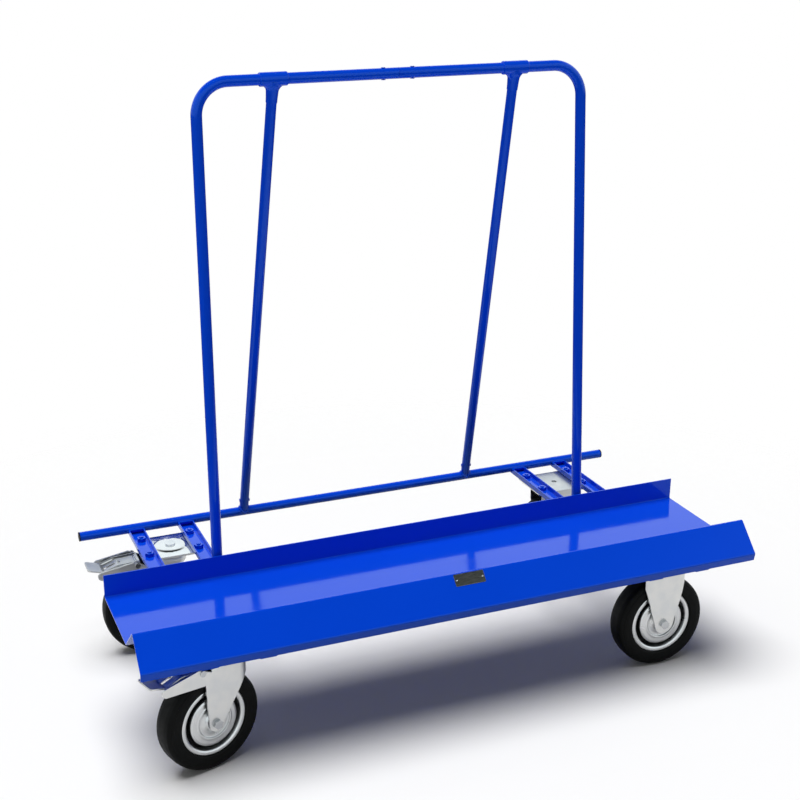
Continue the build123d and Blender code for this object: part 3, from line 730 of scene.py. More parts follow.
@dataclass(frozen=True)
class StudioWhite(Finish):
    """Matt white floor: pale, with a tone that drifts by the metre, fading out far away. Diffuse
    rays, and in part mirror rays, see it in a darker grey near the trolley, so that the blue
    underside tints its own shadow less. Reaches are metres from the trolley's middle."""

    name: str = "matt_white_studio_floor"
    colour: str = "F6F6F6"
    cloud_colour: str = "F3F3F3"
    clouds: Drift = Drift(900.0, 0.0, 0.25, 2.0)
    bounce_colour: str = "303030"
    mirror_share: float = 0.12
    near_reach: float = 0.62
    far_reach: float = 1.1
    fade_start: float = 1.15
    fade_end: float = 1.75

    def inputs(self, tree: Tree, place: Socket) -> dict:
        """What goes into the shader.

        Args:
            tree: the material's tree.
            place: object coordinates in metres.

        Returns:
            Shader inputs with values or sockets.
        """
        glossy = add_node(tree, "ShaderNodeLightPath", {}, {}, "Is Glossy Ray")
        away = add_node(tree, "ShaderNodeVectorMath", {"operation": "LENGTH"}, {0: place}, "Value")
        near, shown = (add_node(tree, "ShaderNodeMapRange", {}, {
            "Value": away, "From Min": start, "From Max": end, "To Min": 1.0, "To Max": 0.0})
            for start, end in ((self.near_reach, self.far_reach), (self.fade_start, self.fade_end)))
        seen = add_node(tree, "ShaderNodeMath", {"operation": "MULTIPLY_ADD"}, {
            0: glossy, 1: self.mirror_share, 2: glossy.node.outputs["Is Diffuse Ray"]})
        dim = add_node(tree, "ShaderNodeMath", {"operation": "MULTIPLY"}, {0: seen, 1: near})
        colour = add_node(tree, "ShaderNodeMix", COLOUR_MIX, {
            SHARE: dim, FIRST: self.body(tree, place), SECOND: linear(self.bounce_colour)}, MIXED)
        return {"Base Color": colour, "Roughness": 0.8, "Specular IOR Level": 0.1, "Alpha": shown}


class Finishes:
    """Every finish of the trolley, made once."""

    def __init__(self) -> None:
        """Makes the materials."""
        self.paint = PowderCoat().build()
        self.zinc = ZincPlating().build()
        self.bright_zinc = ZincPlating(
            "bright_zinc_plated_fastener", "DDDFE1", "CDD0D5", roughness=Drift(14.0, 0.17, 0.25)).build()
        self.plate_zinc = ZincPlating(
            "polished_zinc_swivel_plate", "E2E3E3", "D6D8DA", roughness=Drift(14.0, 0.10, 0.18)).build()
        self.wheel_zinc = ZincPlating(
            "pressed_zinc_wheel_disc", "D2D3D3", "C6C8C9", roughness=Drift(14.0, 0.27, 0.35)).build()
        self.ground_steel = ZincPlating(
            "ground_bearing_steel", "B9BBBD", "A5A8AC", roughness=Drift(14.0, 0.13, 0.21)).build()
        self.rubber = Rubber().build()
        self.plastic = BlackPlastic().build()
        self.label = PlateAluminium().build()


# Sub-assemblies


@dataclass
class Assembly:
    """A part of the trolley that makes its own pieces, with the finishes that they get."""

    finishes: Finishes

    def painted(self, name: str, surface: Surface, *replaces: str, slot: Slot = Slot.BLUE_PAINT) -> None:
        """Makes a painted piece of the chassis.

        Args:
            name: the piece's name.
            surface: its points and faces.
            replaces: CAD nodes that it stands for.
            slot: the record's material slot; not used.
        """
        make_piece(name, surface, self.finishes.paint, "chassis", replaces)


@dataclass
class Tray(Assembly):
    """The folded sheet: lip, deck, raised ridge, apron and return strip."""

    length: float = 1280.0
    sheet: float = 2.5
    lip_top: tuple[float, float] = (0.7, 294.5)
    lip_fold: tuple[float, float] = (2.3, 247.5)
    deck_fold: tuple[float, float] = (-195.7, 247.5)
    ridge: tuple[float, float] = (-269.3, 307.0)
    apron_fold: tuple[float, float] = (-323.4, 251.0)
    strip_foot: tuple[float, float] = (-319.7, 235.0)
    bend_radii: tuple[float, float, float, float] = (3.0, 3.0, 5.5, 5.0)
    bend_steps: int = 14
    shortest_flat: float = 5.0
    cut_edge: float = 0.5

    def section(self, inset: float) -> Array:
        """The sheet's closed section: the visible face's line and the same line moved in by the sheet.

        Args:
            inset: how far the whole outline is drawn in, for the rounded cut ends.

        Returns:
            (y, z) points, the visible face first and the hidden face back again.
        """
        corners = np.array([self.lip_top, self.lip_fold, self.deck_fold, self.ridge, self.apron_fold,
                            self.strip_foot])
        line = rounded_line(corners, self.bend_radii, self.bend_steps)
        way = unit(np.gradient(line, axis=0))
        way[0], way[-1] = unit(line[1] - line[0]), unit(line[-1] - line[-2])
        runs = np.linalg.norm(np.diff(line, axis=0), axis=1)
        flat = np.where(runs > self.shortest_flat)[0]
        way[flat] = way[flat + 1] = unit(line[flat + 1] - line[flat])
        inward = np.stack([-way[:, 1], way[:, 0]], -1)
        pull = np.zeros(len(line))
        pull[0], pull[-1] = inset, -inset
        line = line + way * pull[:, None]
        return np.vstack([line + inward * inset, (line + inward * (self.sheet - inset))[::-1]])

    def surface(self) -> Surface:
        """The section carried along x, drawn in at both ends by a quarter round.

        Returns:
            The closed sheet, each end filled by quads between its visible and its hidden face.
        """
        inset = self.cut_edge * (1 - np.sin(SMALL_ROUND))
        x = self.length / 2 - self.cut_edge * (1 - np.cos(SMALL_ROUND))
        stations = np.concatenate([-x, x[::-1]])
        rows = np.stack([self.section(i) for i in np.concatenate([inset, inset[::-1]])])
        count = rows.shape[1]
        along = np.broadcast_to(stations[:, None, None], (len(stations), count, 1))
        near = np.arange(count // 2 - 1)
        end = np.stack([near, near + 1, count - 2 - near, count - 1 - near], -1)
        quads = np.vstack([grid_quads(len(stations), count), end, end + (len(stations) - 1) * count])
        return Surface(np.concatenate([along, rows], -1).reshape(-1, 3), quads)

    def build(self) -> None:
        """Makes the tray."""
        self.painted("folded_tray", self.surface(), "tray")


@dataclass
class Bow(Assembly):
    """The tubular bow in two halves that meet in the middle of the top bar."""

    tube_radius: float = 10.65
    foot_reach: float = 409.0
    head_reach: float = 397.0
    foot_y: float = 19.3
    head_y: float = 52.3
    foot_height: float = 235.1
    head_height: float = 1214.6
    corner_radius: float = 62.0
    corner_steps: int = 28
    joint_gap: float = 0.5

    def point(self, x: float, share: float) -> Array:
        """A point of the bow's plane.

        Args:
            x: its place along the tray.
            share: its share of the way from foot level to head level.

        Returns:
            The point.
        """
        foot = np.array([x, self.foot_y, self.foot_height])
        rise = np.array([0.0, self.head_y - self.foot_y, self.head_height - self.foot_height])
        return foot + rise * share

    def leg(self, side: Side) -> tuple[Array, Array]:
        """Foot and head of one leg's middle line."""
        reaches = ((self.foot_reach, 0.0), (self.head_reach, 1.0))
        return tuple(self.point(side.value * reach, share) for reach, share in reaches)

    def lean(self) -> Array:
        """The way from the feet to the top bar, in the bow's plane."""
        return self.point(0, 1.0) - self.point(0, 0.0)

    def build(self) -> None:
        """Makes both halves: each a leg, a round corner and half of the top bar, as one bent tube."""
        across = unit(np.cross(self.lean(), ALONG_TRAY))
        for side in Side:
            corners = np.array([*self.leg(side), self.point(side.value * self.joint_gap / 2, 1.0)])
            line = rounded_line(corners, self.corner_radius, self.corner_steps)
            word = side.name.lower()
            half = tube_along(line, across, self.tube_radius)
            self.painted(f"bow_half_{word}", half, f"bow_{word}")


@dataclass
class RearTube(Assembly):
    """The tube along the back that carries the braces and the channels' ends."""

    length: float = 1268.0
    radius: float = 10.0
    height: float = 244.0
    y: float = 312.6
    channel_half: float = 17.0
    channel_top: float = 245.0
    channel_centres: tuple[float, ...] = (-514.4, -405.6, 407.6, 516.4)
    bead: float = 2.2
    bead_points: int = 40
    bead_ripple: float = 0.06
    bead_ripples: float = 34.0
    bead_inset: float = 0.4
    bead_depth: float = 0.6
    bead_gap: float = 0.2

    def channel_welds(self) -> Surface:
        """Round beads along the foot of the tube, over each channel's width, with tapered ends.

        A bead's radius is the full one times the fourth root of one less the fourth power of its
        place from the middle, with a small ripple.

        Returns:
            The four beads.
        """
        share = np.linspace(-0.985, 0.985, self.bead_points)
        ripple = 1 + self.bead_ripple * np.cos(share * self.bead_ripples)
        size = self.bead * (1 - share ** 4) ** 0.25 * ripple
        line = np.column_stack([share * (self.channel_half - self.bead_inset),
                                np.full(self.bead_points, self.y - self.radius - self.bead_gap),
                                np.full(self.bead_points, self.channel_top - self.bead_depth)])
        return joined(*[tube_along(line + ALONG_TRAY * centre, UP, size, 12, edge=0.2)
                        for centre in self.channel_centres])

    def build(self) -> None:
        """Makes the tube and the beads; its plugs stay as the CAD has them."""
        half = self.length / 2
        line = np.array([(x, self.y, self.height) for x in np.linspace(-half, half, 5)])
        self.painted("rear_bar", tube_along(line, UP, self.radius, edge=0.5), "rear_tube")
        self.painted("channel_welds", self.channel_welds())


@dataclass
class Braces(Assembly):
    """The two back tubes with their collars on the top bar and their welds on the rear tube."""

    bow: Bow
    rear: RearTube
    radius: float = 10.0
    head_reach: float = 249.0
    foot_reach: float = 271.0
    foot_gap: float = 0.2
    head_overlap: float = 1.0
    collar_length: float = 55.0
    collar_radius: float = 13.15
    collar_edge: float = 2.0
    stub_length: float = 46.0
    stub_root: float = 12.9
    stub_tip: float = 10.9
    stub_edge: float = 0.7
    stub_rows: int = 7
    stub_sunk: float = 0.4
    bell_power: float = 1.5
    flare: float = 6.5
    flare_share: float = 0.34
    flare_rows: int = 13
    flare_power: float = 2.4
    weld_bead: float = 3.0
    weld_ripple: float = 0.18
    weld_ripples: int = 17

    def ends(self, side: Side) -> tuple[Array, Array]:
        """The ends of one brace's middle line.

        Args:
            side: the trolley's end that it stands at.

        Returns:
            Foot, on the rear tube's middle line, and head, on the top bar's.
        """
        foot = np.array([side.value * self.foot_reach, self.rear.y, self.rear.height])
        head = np.array([side.value * self.head_reach, self.bow.head_y, self.bow.head_height])
        return foot, head

    def axes(self, start: Array, end: Array, count: int) -> tuple[Array, ...]:
        """The way of a round part and the angles round it.

        Args:
            start: where the part starts.
            end: where it ends.
            count: points round it.

        Returns:
            The way from start to end, the way beside it and the way behind it, and the angles.
        """
        way = unit(end - start)
        side = unit(np.cross(way, TO_BACK))
        return way, side, np.cross(side, way), full_turn(count)[:, None]

    def tube(self, foot: Array, head: Array) -> Surface:
        """One brace: its first ring follows the rear tube's curve, its head ends inside the collar.

        Args:
            foot: start of the middle line.
            head: end of the middle line.

        Returns:
            The closed tube.
        """
        up, side, back, angle = self.axes(foot, head, TUBE_POINTS)
        spoke = np.cos(angle) * side + np.sin(angle) * back
        lift = saddle(self.rear.radius, self.radius * np.sin(angle[:, 0]), 0.2) + self.foot_gap
        top = np.linalg.norm(head - foot) - self.collar_radius + self.head_overlap
        share = np.array([0.0, 0.06, 0.5, 1.0])[:, None]
        height = lift[None] * (1 - share) + top * share
        points = foot + height[..., None] * up + self.radius * spoke[None]
        rows = len(share)
        return Surface(points.reshape(-1, 3), grid_quads(rows, TUBE_POINTS), end_caps(rows, TUBE_POINTS))

    def weld(self, foot: Array, head: Array) -> Surface:
        """The bead round a brace's foot: a rippled round section carried along the saddle curve,
        flush with the tube's back.

        Args:
            foot: start of the middle line.
            head: end of the middle line.

        Returns:
            The closed bead.
        """
        steps, around = 96, 12
        up, side, back, angle = self.axes(foot, head, steps)
        spoke = np.cos(angle) * side + np.sin(angle) * back
        lift = saddle(self.rear.radius, self.radius * np.sin(angle), 1.0) + self.foot_gap
        centre = foot + lift * up + (self.radius - self.foot_gap) * spoke
        bead = self.weld_bead + self.weld_ripple * np.cos(angle * self.weld_ripples)
        swing = full_turn(around)[None, :, None]
        rings = centre[:, None] + bead[..., None] * (np.cos(swing) * spoke[:, None] + np.sin(swing) * up)
        points = rings.reshape(-1, 3)
        points[:, 1] = np.minimum(points[:, 1], foot[1] + self.rear.radius + 0.1)
        return Surface(points, grid_quads(steps, around, wrap_rows=True))

    def collar(self, foot: Array, head: Array) -> Surface:
        """The T fitting: a sleeve on the bar and a tapered stub that flares into it.

        The stub's radius is tip + (root - tip) * (1 - s) ** bell_power with a hollow flare at its
        root, and its first ring lies on the sleeve.

        Args:
            foot: start of the brace's middle line.
            head: end of it, on the bar's middle line.

        Returns:
            Sleeve and stub.
        """
        half = ALONG_TRAY * self.collar_length / 2
        line = np.linspace(head - half, head + half, 4)
        sleeve = tube_along(line, UP, self.collar_radius, edge=self.collar_edge)
        down, side, back, angle = self.axes(head, foot, TUBE_POINTS)
        root = np.linspace(0, self.flare_share, self.flare_rows)
        share = np.concatenate([root, np.linspace(0.4, 0.985, self.stub_rows), [1.0]])[:, None]
        bell = self.stub_tip + (self.stub_root - self.stub_tip) * (1 - share) ** self.bell_power
        size = bell + self.flare * np.clip(1 - share / self.flare_share, 0, 1) ** self.flare_power
        size[-1] -= self.stub_edge
        spread = np.minimum(size, self.collar_radius - 0.05)
        start = saddle(self.collar_radius, spread[0] * np.sin(angle[:, 0])) - self.stub_sunk
        height = start * (1 - share) + self.stub_length * share
        points = head + height[..., None] * down + size[..., None] * np.cos(angle) * side \
            + spread[..., None] * np.sin(angle) * back
        rows = len(share)
        stub = Surface(points.reshape(-1, 3), grid_quads(rows, TUBE_POINTS), end_caps(rows, TUBE_POINTS))
        return joined(sleeve, stub)

    def build(self) -> None:
        """Makes both braces with their collars and welds."""
        for side in Side:
            word, line = side.name.lower(), self.ends(side)
            self.painted(f"brace_tube_{word}", self.tube(*line), f"brace_{word}")
            self.painted(f"brace_weld_{word}", self.weld(*line))
            self.painted(f"bar_collar_{word}", self.collar(*line), f"brace_collar_{word}")


@dataclass
class Castor:
    """One castor's place: its turn in degrees and how far its axle trails."""

    name: str
    x: float
    y: float
    turn: float
    trail: float
    swivels: bool

    def rolling(self) -> Array:
        """The way that the castor rolls, away from its pedal."""
        return np.array([np.cos(np.radians(self.turn)), np.sin(np.radians(self.turn)), 0.0])

    def axle(self) -> Array:
        """The way along the axle, towards the back of the trolley at no turn."""
        return np.array([-np.sin(np.radians(self.turn)), np.cos(np.radians(self.turn)), 0.0])

    def swivel(self) -> Array:
        """The foot of the castor's upright axis, on the floor."""
        return np.array([self.x, self.y, 0.0])

    def hub(self) -> Array:
        """The middle of the wheel."""
        return self.swivel() + WHEEL_RADIUS * UP - self.rolling() * self.trail


CASTORS = (
    Castor("front_left", -460.0, -239.7, 18.0, 52.0, True),
    Castor("rear_left", -460.0, 222.3, 0.0, 52.0, True),
    Castor("front_right", 462.0, -239.7, 0.0, 0.0, False),
    Castor("rear_right", 462.0, 222.3, 0.0, 0.0, False),
)


@dataclass
class Wheel(Assembly):
    """A rubber tyre on a pressed disc wheel. Corners are (along the axle, radius) on one side."""

    castor: Castor
    tyre_half: Corners = (
        (22.4, 69.0), (24.2, 72.5), (24.9, 84.0), (24.2, 89.6), (23.2, 90.2), (23.0, 93.6), (18.6, 98.4),
        (10.0, WHEEL_RADIUS))
    tyre_rounds: tuple[float, ...] = (1.5, 6.0, 10.0, 0.3, 0.3, 6.0, 6.0, 30.0)
    disc_half: Corners = (
        (26.8, 15.2), (26.4, 18.0), (22.6, 21.5), (20.6, 27.0), (20.4, 31.6), (23.4, 33.6), (23.4, 36.0),
        (22.4, 38.2), (22.0, 45.6), (20.0, 49.8), (4.0, 50.4), (4.0, 56.4), (12.4, 56.8), (20.0, 59.6),
        (21.8, 62.4), (22.0, 66.6), (20.8, 69.0))
    disc_rounds: tuple[float, ...] = (
        0.8, 1.5, 4.0, 3.0, 1.5, 0.7, 0.7, 1.5, 5.0, 1.5, 0.8, 0.8, 0.8, 1.6, 1.6, 1.6, 0.5)
    # A band of black rubber in the gap between ring and disc: painted shade, since the gap holds only
    # shade.
    groove_shade_band: Corners = (
        (4.1, 50.7), (16.8, 50.2), (16.8, 51.2), (10.5, 52.0), (9.0, 56.3), (4.1, 56.5))
    corner_steps: int = 5
    steps_around: tuple[int, int, int] = (160, 96, 128)
    crease: float = 60.0

    def section(self, half: tuple, rounds: tuple) -> Array:
        """A half section and its mirror image as one closed loop with rounded corners.

        Args:
            half: corners on one side of the wheel's middle plane.
            rounds: rounding radius of each corner.

        Returns:
            The loop's (along, radius) points.
        """
        mirror = np.array(half)[::-1] * (-1.0, 1.0)
        return rounded_line(np.vstack([half, mirror]), np.array(rounds + rounds[::-1]),
                            self.corner_steps, closed=True)

    def build(self) -> None:
        """Makes the tyre, a black rubber band in the disc's groove as painted shade, and the disc."""
        name, place = self.castor.name, (self.castor.hub(), self.castor.axle())
        body = f"wheel_{name}"
        fine, coarse, middle = self.steps_around
        tyre = turned(self.section(self.tyre_half, self.tyre_rounds), *place, fine)
        bands = [turned(np.array(self.groove_shade_band) * (side, 1), *place, coarse) for side in (-1, 1)]
        disc = turned(self.section(self.disc_half, self.disc_rounds), *place, middle)
        make_piece(f"rubber_tyre_{name}", tyre, self.finishes.rubber, body,
                   (f"tyre_{name}",), self.crease)
        # The black band in the groove is painted shade.
        make_piece(f"groove_shade_band_{name}", joined(*bands), self.finishes.rubber, body)
        make_piece(f"pressed_disc_{name}", disc, self.finishes.wheel_zinc, body,
                   (f"rim_{name}",), self.crease)


@dataclass
class Pedal(Assembly):
    """A pressed brake pedal: a rim along each edge, a sunk pan with a slot, and a treadle tab.

    Places are reaches from the swivel axis; pairs of sizes belong to the near and the far end.
    """

    castor: Castor
    half_width: float = 25.0
    side_line: Corners = (
        (71.0, 219.0), (118.0, 217.0), (148.0, 206.8), (178.9, 215.5))
    bends: tuple[float, float] = (30.0, 4.0)
    cheek: tuple[float, float] = (13.0, 9.0)
    sink: tuple[float, float] = (2.9, 4.6)
    sink_step: tuple[float, float] = (116.0, 10.0)
    sheet: tuple[float, float] = (1.6, 2.8)
    slot: tuple[float, float] = (121.0, 146.0)
    slot_radius: float = 3.0
    slot_blend: float = 6.0
    slot_clear: float = 0.6
    fade: tuple[float, float] = (1.5, 4.0)
    rise: float = 7.0
    tab_corner: float = 5.0
    tab_inset: tuple[float, float] = (1.5, 8.2)
    rows: int = 76
    corner_rows: int = 7
    rivet_reach: float = 112.0
    rivet_rise: float = 2.9
    rivet_radius: float = 4.0
    rivet_sunk: float = 0.4
    crease: float = 40.0

    def stations(self) -> Array:
        """Where the grid's rows lie, close together at the tab's rounded corners.

        Returns:
            Their reaches in order, with the slot's two ends among them.
        """
        start, end = self.side_line[0][0], self.side_line[-1][0]
        even = np.linspace(start, end - self.tab_corner, self.rows)
        tip = end - self.tab_corner * (1 - np.sin(np.linspace(0, np.pi / 2, self.corner_rows)[1:]))
        clear = np.abs(even[:, None] - np.array(self.slot)).min(1) > self.slot_clear
        return np.sort(np.concatenate([even[clear], tip, self.slot]))

    def columns(self) -> list[Array]:
        """The cross-section from cheek to cheek.

        Returns:
            Place across in the pan and in the tab, and shares of the cheek's and of the pan's depth.
        """
        w = self.half_width
        from_edge = [0.0, 0.0, 0.0, 0.4, 1.2, 2.4, 4.2, 5.4, 6.4, 7.4, 9.0]
        across = np.array([w - step for step in from_edge] + [12.0, 8.5, 5.5, 4.0, 3.0, 2.6, 1.5, 0.0])
        cheek = np.array([1.0, 0.62, 0.25, 0.10, 0.03, 0.0] + [0.0] * 13)
        pan = np.array([0.0] * 7 + [0.12, 0.5, 0.88] + [1.0] * 9)
        tab = np.concatenate([w - np.linspace(*self.tab_inset, 10), across[10:]])
        return [np.concatenate([part, part[-2::-1]]) for part in (across, tab, cheek, pan)]

    def surface(self) -> Surface:
        """The top face as a grid of reach and place across, given its thickness underneath.

        Height is the side line less the cheek's and the pan's depths, each a share that fades out
        at the tab; the slot's ends and the tab's corners bend the rows and columns round.

        Returns:
            The closed sheet.
        """
        near, knee, step, tip = self.side_line
        line = rounded_line(np.array(self.side_line), np.array(self.bends), 16)
        rows = self.stations()
        across, tab, cheek_share, pan_share = self.columns()
        sign = np.sign(np.arange(len(across)) - len(across) // 2)
        (start, end), radius = self.slot, self.slot_radius
        reach = np.broadcast_to(rows[:, None], (len(rows), len(across))).copy()
        nook = radius - saddle(radius, across)
        nook = np.where(across > radius, radius * np.exp((radius - across) / 2), nook)
        for place, way in ((start, 1), (end, -1)):
            reach += way * nook * np.clip(1 - np.abs(reach - place) / self.slot_blend, 0, 1)
        fade = np.clip((step[0] + self.fade[0] - reach) / self.fade[1], 0, 1)
        fade = fade * fade * (3 - 2 * fade)
        rise = np.clip((reach - near[0]) / self.rise, 0, 1)
        deep = np.clip((reach - self.sink_step[0]) / self.sink_step[1], 0, 1)
        cheek = np.interp(reach, [near[0], knee[0]], self.cheek)
        sink = self.sink[0] + (self.sink[1] - self.sink[0]) * deep
        drop = fade * (cheek * cheek_share + sink * pan_share * rise)
        corner = np.clip(self.tab_corner - (tip[0] - reach), 0, self.tab_corner)
        narrow = self.tab_corner - np.sqrt(self.tab_corner ** 2 - corner ** 2)
        wide = (across * fade + tab * (1 - fade)) * (1 - narrow / self.half_width)
        height = np.interp(reach, line[:, 0], line[:, 1])
        slope = np.gradient(np.interp(rows, line[:, 0], line[:, 1]), rows)[:, None]
        tilt = np.stack([-slope, np.ones_like(slope)], -1) / np.sqrt(1 + slope ** 2)[..., None]
        flat = np.stack([reach, height], -1) - drop[..., None] * tilt
        points = self.castor.swivel() - flat[..., :1] * self.castor.rolling() \
            + flat[..., 1:] * UP + (sign * wide)[..., None] * self.castor.axle()
        thick = self.sheet[1] + (self.sheet[0] - self.sheet[1]) * fade
        middle = 0.25 * (reach[1:, 1:] + reach[:-1, 1:] + reach[1:, :-1] + reach[:-1, :-1])
        beside = 0.5 * (across[1:] + across[:-1])
        kept = ~((middle > start) & (middle < end) & (beside < radius)[None])
        return thickened(points, thick, kept)

    def build(self) -> None:
        """Makes the pedal and the rivet that holds its shoe."""
        name = self.castor.name
        centre = self.castor.swivel() - self.castor.rolling() * self.rivet_reach
        seat = np.interp(self.rivet_reach, *np.array(self.side_line).T) - self.sink[0] - self.rivet_sunk
        rivet = rivet_head(centre, UP, seat, self.rivet_rise, self.rivet_radius, 8, 32)
        make_piece(f"pressed_pedal_{name}", joined(self.surface(), rivet), self.finishes.zinc,
                   f"brake_{name}", (f"pedal_{name}",), self.crease)


@dataclass
class Fasteners(Assembly):
    """Hexagon bolts and nuts, modelled with chamfered corners and thread ends; turns are in radians."""

    bow: Bow
    braces: Braces
    flats: float = 17.0
    head_height: float = 6.4
    nut_height: float = 8.0
    radius: float = 5.0
    pitch: float = 1.5
    plate_under: float = 228.0
    web_top: float = 234.5
    thread_stand: float = 2.5
    spacing_long: float = 105.0
    spacing_across: float = 80.0
    axle_end: float = 3.0
    fork_half: float = 33.0
    frame_flats: float = 8.0
    frame_head: float = 2.2
    frame_seat: float = 0.3
    small_head: float = 1.0
    pin_radius: float = 2.4
    foot_lift: float = 30.0
    joint_offset: float = 30.0
    plate_turn_step: float = 2.4
    plate_head_turn: float = 0.3
    axle_head_turn: float = 0.2
    axle_nut_turn: float = 0.5
    cross_turn: float = 0.25

    def twisted(self, way: Array, *angles: float) -> Array:
        """Axes for bolts along one way, each turned by its own angle.

        Args:
            way: the bolts' direction.
            angles: turn of each bolt in radians.

        Returns:
            Three axes as rows for each bolt, shape (m, 3, 3).
        """
        way, angle = unit(way), np.array(angles)[:, None]
        u = unit(np.cross(way, ALONG_TRAY if abs(way[0]) < 0.9 else UP))
        v = np.cross(way, u)
        c, s = np.cos(angle), np.sin(angle)
        return np.stack([c * u + s * v, c * v - s * u, np.broadcast_to(way, (len(angle), 3))], 1)

    def build_plate_bolts(self) -> None:
        """Makes the four bolts and nuts in each castor's plate."""
        signs = np.array([(a, b) for a in (-0.5, 0.5) for b in (-0.5, 0.5)])
        grid = signs * (self.spacing_long, self.spacing_across)
        places = np.vstack([grid + (castor.x, castor.y) for castor in CASTORS])
        turns = (np.arange(len(places)) * self.plate_turn_step) % (np.pi / 3)
        upright, hanging = self.twisted(UP, *turns), self.twisted(-UP, *(turns + self.plate_head_turn))
        on_web, on_plate = (np.column_stack([places, np.full(len(places), z)])
                            for z in (self.web_top, self.plate_under))
        nuts = hexagon(self.flats, self.nut_height, True).placed(on_web, upright)
        self.painted("channel_nuts", nuts, "caster_nuts", slot=Slot.ZINC_BOLT)
        reach = self.thread_stand + self.nut_height + self.web_top - self.plate_under
        ends = threaded_end(self.radius, self.pitch, reach).placed(on_plate, upright)
        heads = hexagon(self.flats, self.head_height, False).placed(on_plate, hanging)
        self.painted("channel_bolts", joined(ends, heads), "caster_bolts", slot=Slot.ZINC_BOLT)

    def axle_pair(self, castor: Castor) -> tuple[Surface, Surface]:
        """The bolt through a wheel's hub, and its nut.

        Args:
            castor: the castor that holds the wheel.

        Returns:
            Bolt and nut.
        """
        hub, across = castor.hub(), castor.axle()
        near, far = hub - across * self.fork_half, hub + across * self.fork_half
        head = hexagon(self.flats, self.head_height, False).placed(
            near[None], self.twisted(-across, self.axle_head_turn))
        shank = tube_along(np.linspace(near, far, 3), UP, self.radius - 0.05, 32)
        end = threaded_end(self.radius, self.pitch, self.nut_height + self.axle_end)
        nut = hexagon(self.flats, self.nut_height, True).placed(
            far[None], self.twisted(across, self.axle_nut_turn))
        return joined(head, shank, end.placed(far[None], self.twisted(across, 0.0))), nut

    def build_axles(self) -> None:
        """Makes the axle bolts and nuts: a pair for each swivel castor, one of all fixed castors."""
        groups = [(f"axle_screw_{c.name}", f"axle_hexagon_{c.name}", f"swivel_{c.name}",
                   f"axle_bolt_{c.name}", f"axle_nut_{c.name}", [c]) for c in CASTORS if c.swivels]
        groups.append(("fixed_axle_screws", "fixed_axle_hexagons", "chassis", "fixed_axle_bolts",
                       "fixed_axle_nuts", [c for c in CASTORS if not c.swivels]))
        for screw, hexagons, body, bolt_node, nut_node, castors in groups:
            bolts, nuts = zip(*[self.axle_pair(castor) for castor in castors])
            steel = self.finishes.ground_steel
            make_piece(screw, joined(*bolts), steel, body, (bolt_node,))
            make_piece(hexagons, joined(*nuts), steel, body, (nut_node,))

    def cross_bolt(self, centre: Array, way: Array, tube_radius: float, height: float) -> Surface:
        """A bolt across a tube: a pin with a hexagon on each side.

        Args:
            centre: the tube's middle there.
            way: direction of the bolt.
            tube_radius: radius of the tube.
            height: height of a hexagon.

        Returns:
            Both hexagons and the pin.
        """
        way, seat = unit(way), tube_radius + self.frame_seat
        head = hexagon(self.frame_flats, height, False)
        sides = [head.placed((centre + way * seat * s)[None], self.twisted(way * s, self.cross_turn))
                 for s in (-1, 1)]
        line = np.linspace(centre - way * seat, centre + way * seat, 3)
        pin = tube_along(line, np.cross(way, unit(way + (1, 2, 3))), self.pin_radius, 24)
        return joined(*sides, pin)

    def build_frame_bolts(self) -> None:
        """Makes the small bolts across the bow's joint, the legs' feet and the braces' feet."""
        joint, legs, feet = [], [], []
        for side in Side:
            middle = self.bow.point(side.value * self.joint_offset, 1.0)
            joint.append(self.cross_bolt(middle, self.bow.lean(), self.bow.tube_radius, self.small_head))
            foot, head = self.bow.leg(side)
            legs.append(self.cross_bolt(foot + unit(head - foot) * self.foot_lift, TO_BACK,
                                        self.bow.tube_radius, self.frame_head))
            foot, head = self.braces.ends(side)
            feet.append(self.cross_bolt(foot + unit(head - foot) * self.foot_lift, ALONG_TRAY,
                                        self.braces.radius, self.small_head))
        for name, bolts, node in (("bar_joint_bolts", joint, "bow_joint_bolts"),
                                  ("leg_bolts", legs, "leg_foot_bolts"),
                                  ("brace_bolts", feet, "brace_foot_bolts")):
            self.painted(name, joined(*bolts), node, slot=Slot.ZINC_BOLT)

    def build(self) -> None:
        """Makes every bolt and nut that shows."""
        self.build_plate_bolts()
        self.build_axles()
        self.build_frame_bolts()


@dataclass
class LabelPlate(Assembly):
    """The bare plate on the apron, with a plain rivet at each end."""

    tray: Tray
    centre_x: float = 9.7
    width: float = 63.0
    height: float = 24.3
    from_ridge: float = 16.0
    thick: float = 0.8
    corner: float = 2.0
    edge: float = 0.25
    gap: float = 0.02
    rivet_inset: float = 4.5
    rivet_rise: float = 0.9
    rivet_radius: float = 1.9
    rivet_sunk: float = 0.2

    def build(self) -> None:
        """Makes the plate: a rounded outline on the apron's face, raised by its thickness."""
        ridge, fold = np.array((0.0, *self.tray.ridge)), np.array((0.0, *self.tray.apron_fold))
        down = unit(fold - ridge)
        out = np.cross(down, ALONG_TRAY)
        out = out if out[2] > 0 else -out
        centre = ridge + down * self.from_ridge + ALONG_TRAY * self.centre_x
        w, h = self.width / 2, self.height / 2
        corners = np.array([(-w, -h), (w, -h), (w, h), (-w, h)])
        outline = rounded_line(corners, self.corner, 5, closed=True)
        lift = np.array([self.gap, self.thick - self.edge, self.thick])[:, None]
        flat = outline[None] * np.array([1.0, 1.0, 1.0 - self.edge / h])[:, None, None]
        points = centre + flat[..., :1] * ALONG_TRAY + flat[..., 1:] * down + lift[..., None] * out
        count = len(outline)
        plate = Surface(points.reshape(-1, 3), grid_quads(3, count), end_caps(3, count))
        rivets = [rivet_head(centre + ALONG_TRAY * s * (w - self.rivet_inset), out,
                             self.thick - self.rivet_sunk, self.rivet_rise, self.rivet_radius, 6, 24)
                  for s in (-1, 1)]
        make_piece("bare_label_plate", plate, self.finishes.label, "chassis")
        make_piece("label_rivets", joined(*rivets), self.finishes.bright_zinc, "chassis")


